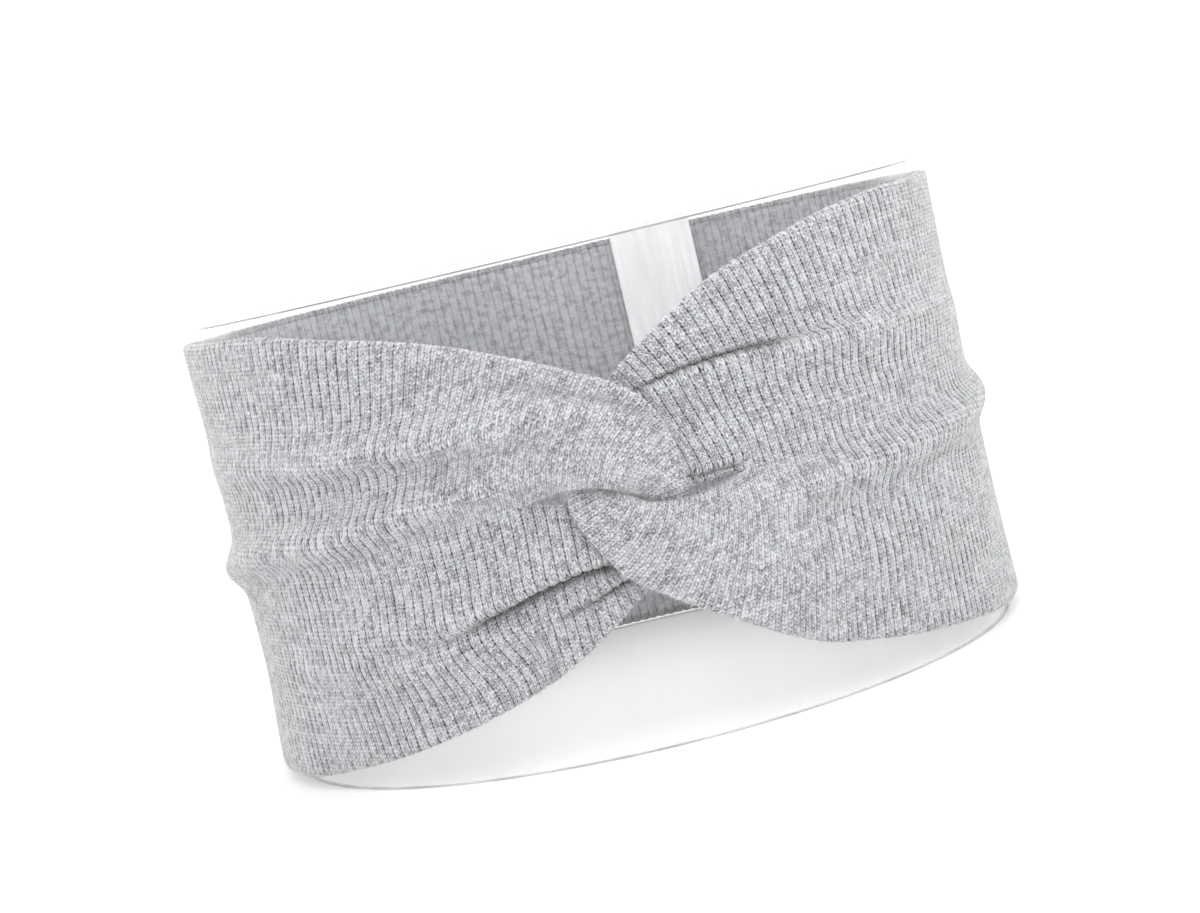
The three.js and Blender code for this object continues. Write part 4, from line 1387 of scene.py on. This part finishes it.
@dataclass
class ClearRing:
    """The plain ring of clear film that holds the band open.

    Args:
        sides: number of its sides.
        rows: number of its rows of faces from rim to rim.
        rim_round: how much the cut edge is rounded.
        rim_band: height of the wall beside the cut edge that takes the edge's painted line too.
    """

    sides: int = 256
    rows: int = 6
    rim_round: float = 0.2
    rim_band: float = 0.2

    def profile(self) -> tuple[Array, Array]:
        """Radius and height of the wall's closed outline, and which of its steps are rim."""
        outside, inside, half = RING_RADIUS, RING_RADIUS - RING_WALL, RING_HEIGHT / 2.0
        reach = half - self.rim_round
        inner_reach = reach - self.rim_band
        up = np.concatenate([[-reach], np.linspace(-inner_reach, inner_reach, self.rows - 1), [reach]])
        outer = np.stack([np.full_like(up, outside), up], axis=-1)
        inner = np.stack([np.full_like(up, inside), up[::-1]], axis=-1)
        top = [[outside - self.rim_round, half], [inside + self.rim_round, half]]
        low = [[inside + self.rim_round, -half], [outside - self.rim_round, -half]]
        outline = np.concatenate([outer, top, inner, low])
        is_rim = np.ones(len(outline), bool)
        is_rim[1:self.rows - 1] = False
        is_rim[self.rows + 4:2 * self.rows + 2] = False
        return outline, is_rim

    def build(self, wall: Material, rim: Material) -> Object:
        """Turns the outline round the axis.

        Args:
            wall: finish of the walls.
            rim: finish of the cut edges.

        Returns:
            The piece.
        """
        outline, is_rim = self.profile()
        count = len(outline)
        angle = np.arange(self.sides) * (2.0 * np.pi / self.sides)
        points = np.stack([
            np.outer(np.cos(angle), outline[:, 0]), np.outer(np.sin(angle), outline[:, 0]),
            np.tile(outline[:, 1], (self.sides, 1)),
        ], axis=-1).reshape(-1, 3)
        a, k = np.meshgrid(np.arange(self.sides), np.arange(count), indexing="ij")
        b, m = (a + 1) % self.sides, (k + 1) % count
        quads = np.stack([a * count + k, b * count + k, b * count + m, a * count + m], axis=-1)
        piece = solid_piece("clear_ring", points, quads.reshape(-1, 4), [wall, rim],
                            np.tile(is_rim, self.sides))
        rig.replaces(piece, "display_hoop")
        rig.slot(piece, "clear_film")
        return piece


@dataclass
class JoiningTape:
    """The white strip on the inside of the ring at the back.

    Args:
        from_deg: where it begins, in degrees from the back towards +X.
        to_deg: where it ends.
        length: its length down from the upper rim.
        gap: its distance from the film.
        thickness: its thickness.
        margin: its distance from the ring's upper rim.
        wrinkle: height of its two crossing waves.
        rows: number of its rows of faces upwards.
        columns: number of its columns of faces round the ring.
    """

    from_deg: float = 10.4
    to_deg: float = 25.6
    length: float = 52.0
    gap: float = 0.3
    thickness: float = 0.5
    margin: float = 0.6
    wrinkle: float = 0.06
    rows: int = 30
    columns: int = 24

    def build(self, finish: Material) -> Object:
        """Bends a thin box to the ring, its faces wrinkled by two crossing waves.

        Args:
            finish: its material.

        Returns:
            The piece.
        """
        angle = np.radians(np.linspace(self.from_deg, self.to_deg, self.columns + 1))[:, None]
        top = RING_HEIGHT / 2.0 - self.margin
        height = np.linspace(top - self.length, top, self.rows + 1)[None, :]
        wave = self.wrinkle * np.sin(height * 0.21 + angle * 60.0) * np.sin(angle * 95.0 - height * 0.05)
        outside = RING_RADIUS - RING_WALL - self.gap
        shells = np.stack([
            np.stack([radius * np.sin(angle) + height * 0.0, radius * np.cos(angle) + height * 0.0,
                      height + angle * 0.0], axis=-1)
            for radius in (outside - self.wrinkle + wave, outside - self.thickness + wave)
        ])
        rim = [shells[:, 0], shells[::-1, -1], shells[::-1, :, 0], shells[:, :, -1]]
        points, numbers = weld([shells[0], shells[1][::-1], *rim])
        quads = np.concatenate([corners(block) for block in numbers])
        piece = solid_piece("white_tape", points, quads, [finish], np.zeros(len(quads)))
        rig.replaces(piece, "joining_tape")
        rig.slot(piece, "tape")
        return piece


@dataclass
class Studio:
    """The pale floor, the soft lights and the camera.

    Args:
        distance: camera's distance from the ring's middle in metres.
        elevation: its angle above the ring's middle.
        yaw: its turn to the right from the ring's middle.
        pitch: its turn upwards.
        roll: its turn round its own axis.
        lens: focal length in millimetres.
        sensor: width of the sensor in millimetres.
        floor_level: linear grey of the floor.
        floor_sides: number of its sides.
        world_level: strength of the light from all around.
        overhead_power: strength of the light from above and behind.
        front_power: strength of the light from the front and the right.
    """

    distance: float = 0.6424
    elevation: float = 5.44
    yaw: float = -0.06
    pitch: float = 0.13
    roll: float = -13.42
    lens: float = 80.71
    sensor: float = 36.0
    floor_level: float = 0.82
    floor_sides: int = 96
    world_level: float = 1.3
    overhead_power: float = 1.5
    front_power: float = 0.95

    def camera(self) -> Object:
        """Places the camera: it looks at the ring's middle from the front, then turns and rolls."""
        rise, yaw, pitch, roll = np.radians([self.elevation, self.yaw, self.pitch, self.roll])
        side = np.array([1.0, 0.0, 0.0])
        ahead = np.array([0.0, np.cos(rise), -np.sin(rise)])
        up = np.cross(side, ahead)
        turned = unit(ahead + np.tan(yaw) * side + np.tan(pitch) * up)
        right = unit(np.cross(turned, up))
        above = np.cross(right, turned)
        matrix = np.eye(4)
        matrix[:3, 0] = right * np.cos(roll) + above * np.sin(roll)
        matrix[:3, 1] = above * np.cos(roll) - right * np.sin(roll)
        matrix[:3, 2] = -turned
        matrix[:3, 3] = CENTRE - self.distance * ahead
        data = bpy.data.cameras.new("camera")
        data.lens, data.sensor_width = self.lens, self.sensor
        made = linked("camera", data)
        made.matrix_world = Matrix(matrix.tolist())
        bpy.context.scene.camera = made
        return made

    def floor(self) -> Object:
        """A wide pale dish: flat under the object, rising far away as a squared curve."""
        radius = np.array([0.02, 0.6, 1.6, 2.4, 2.8, 3.1, 3.4, 3.7, 4.0])
        rise = 0.55 * np.maximum(0.0, radius - 2.4) ** 2
        angle = np.linspace(0.0, 2.0 * np.pi, self.floor_sides + 1)[:-1, None]
        points = np.stack([radius * np.cos(angle), radius * np.sin(angle), rise + angle * 0.0], axis=-1)
        numbers = np.arange(angle.size * radius.size).reshape(angle.size, radius.size)
        faces = corners(np.concatenate([numbers, numbers[:1]]))[:, ::-1].tolist()
        mesh = bpy.data.meshes.new("floor")
        mesh.from_pydata(points.reshape(-1, 3).tolist(), [], faces + [numbers[:, 0].tolist()])
        mesh.shade_smooth()
        mesh.update()
        mesh.materials.append(Look("floor").finished({
            "Base Color": grey(self.floor_level, 1.0), "Roughness": 0.8, "Specular IOR Level": 0.1,
        }))
        return linked("floor", mesh)

    def soft_light(self, name: str, power: float, heading: tuple[float, float, float],
                   spread: float) -> Object:
        """A soft light so far away that it falls evenly on the whole stage.

        Args:
            name: the light's name.
            power: its strength.
            heading: the direction in which it shines.
            spread: the angle it fills in the sky, in degrees.

        Returns:
            The light.
        """
        data = bpy.data.lights.new(name, "SUN")
        data.energy, data.angle = power, math.radians(spread)
        made = linked(name, data)
        made.rotation_euler = Vector(heading).to_track_quat("-Z", "Y").to_euler()
        return made

    def build(self) -> None:
        """Sets the stage, the lights, the world and the camera."""
        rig.stage(self.floor(), self.soft_light("overhead", self.overhead_power, (0.0, -0.4, -1.0), 60.0),
                 self.soft_light("front", self.front_power, (-0.5, 0.85, -0.6), 70.0))
        world = bpy.data.worlds.new("white_room")
        world.use_nodes = True
        back = world.node_tree.nodes["Background"]
        back.inputs["Color"].default_value = (1.0, 1.0, 1.0, 1.0)
        back.inputs["Strength"].default_value = self.world_level
        bpy.context.scene.world = world
        bpy.context.scene.view_settings.view_transform = "Standard"
        self.camera()


def main() -> None:
    """Builds the band, the ring, the tape and the studio, and reports each piece."""
    logging.basicConfig(level=logging.INFO)
    yarn, film = YarnFinish(), FilmFinish()
    group = yarn.group()
    outer = yarn.material("outer_knit", group, yarn.outer_levels, 0.75, 1.0, 0.0)
    # the inner face: a lightened copy of the knit, painted light for the shaded inside of the ring
    inner = yarn.material("inner_knit", group, yarn.inner_lightened_levels, 0.2, 0.6, 0.5)
    fibre = FibreFinish().material()
    ends = [
        BandEnd("left", LEFT_RUN, LEFT_LOOP, LEFT_FOLDS, is_top_in_front=True, is_turned=False,
                slide=(0.5, 5.5, 8.7, 0.55, 0.95), first_rib=0),
        BandEnd("right", RIGHT_RUN, RIGHT_LOOP, RIGHT_FOLDS, is_top_in_front=False, is_turned=True,
                slide=(0.0, 5.5, 9.0, 0.55, 0.95), first_rib=400),
    ]
    pieces = [piece for end in ends for piece in end.build(outer, inner, fibre)]
    pieces.append(ClearRing().build(film.wall(), film.rim()))
    pieces.append(JoiningTape().build(TapeFinish().material()))
    Studio().build()
    for piece in pieces:
        LOG.info("%s: %d faces, %s m", piece.name, len(piece.data.polygons),
                 [round(side, 4) for side in piece.dimensions])
    sizes = {name: [list(corner) for corner in box] for name, box in
             (("cad", CAD_BOX), ("visual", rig.bounds()))}
    with open(SIZE_FILE, "w", encoding="utf-8") as file:
        json.dump(sizes, file)


if __name__ == "__main__":
    main()
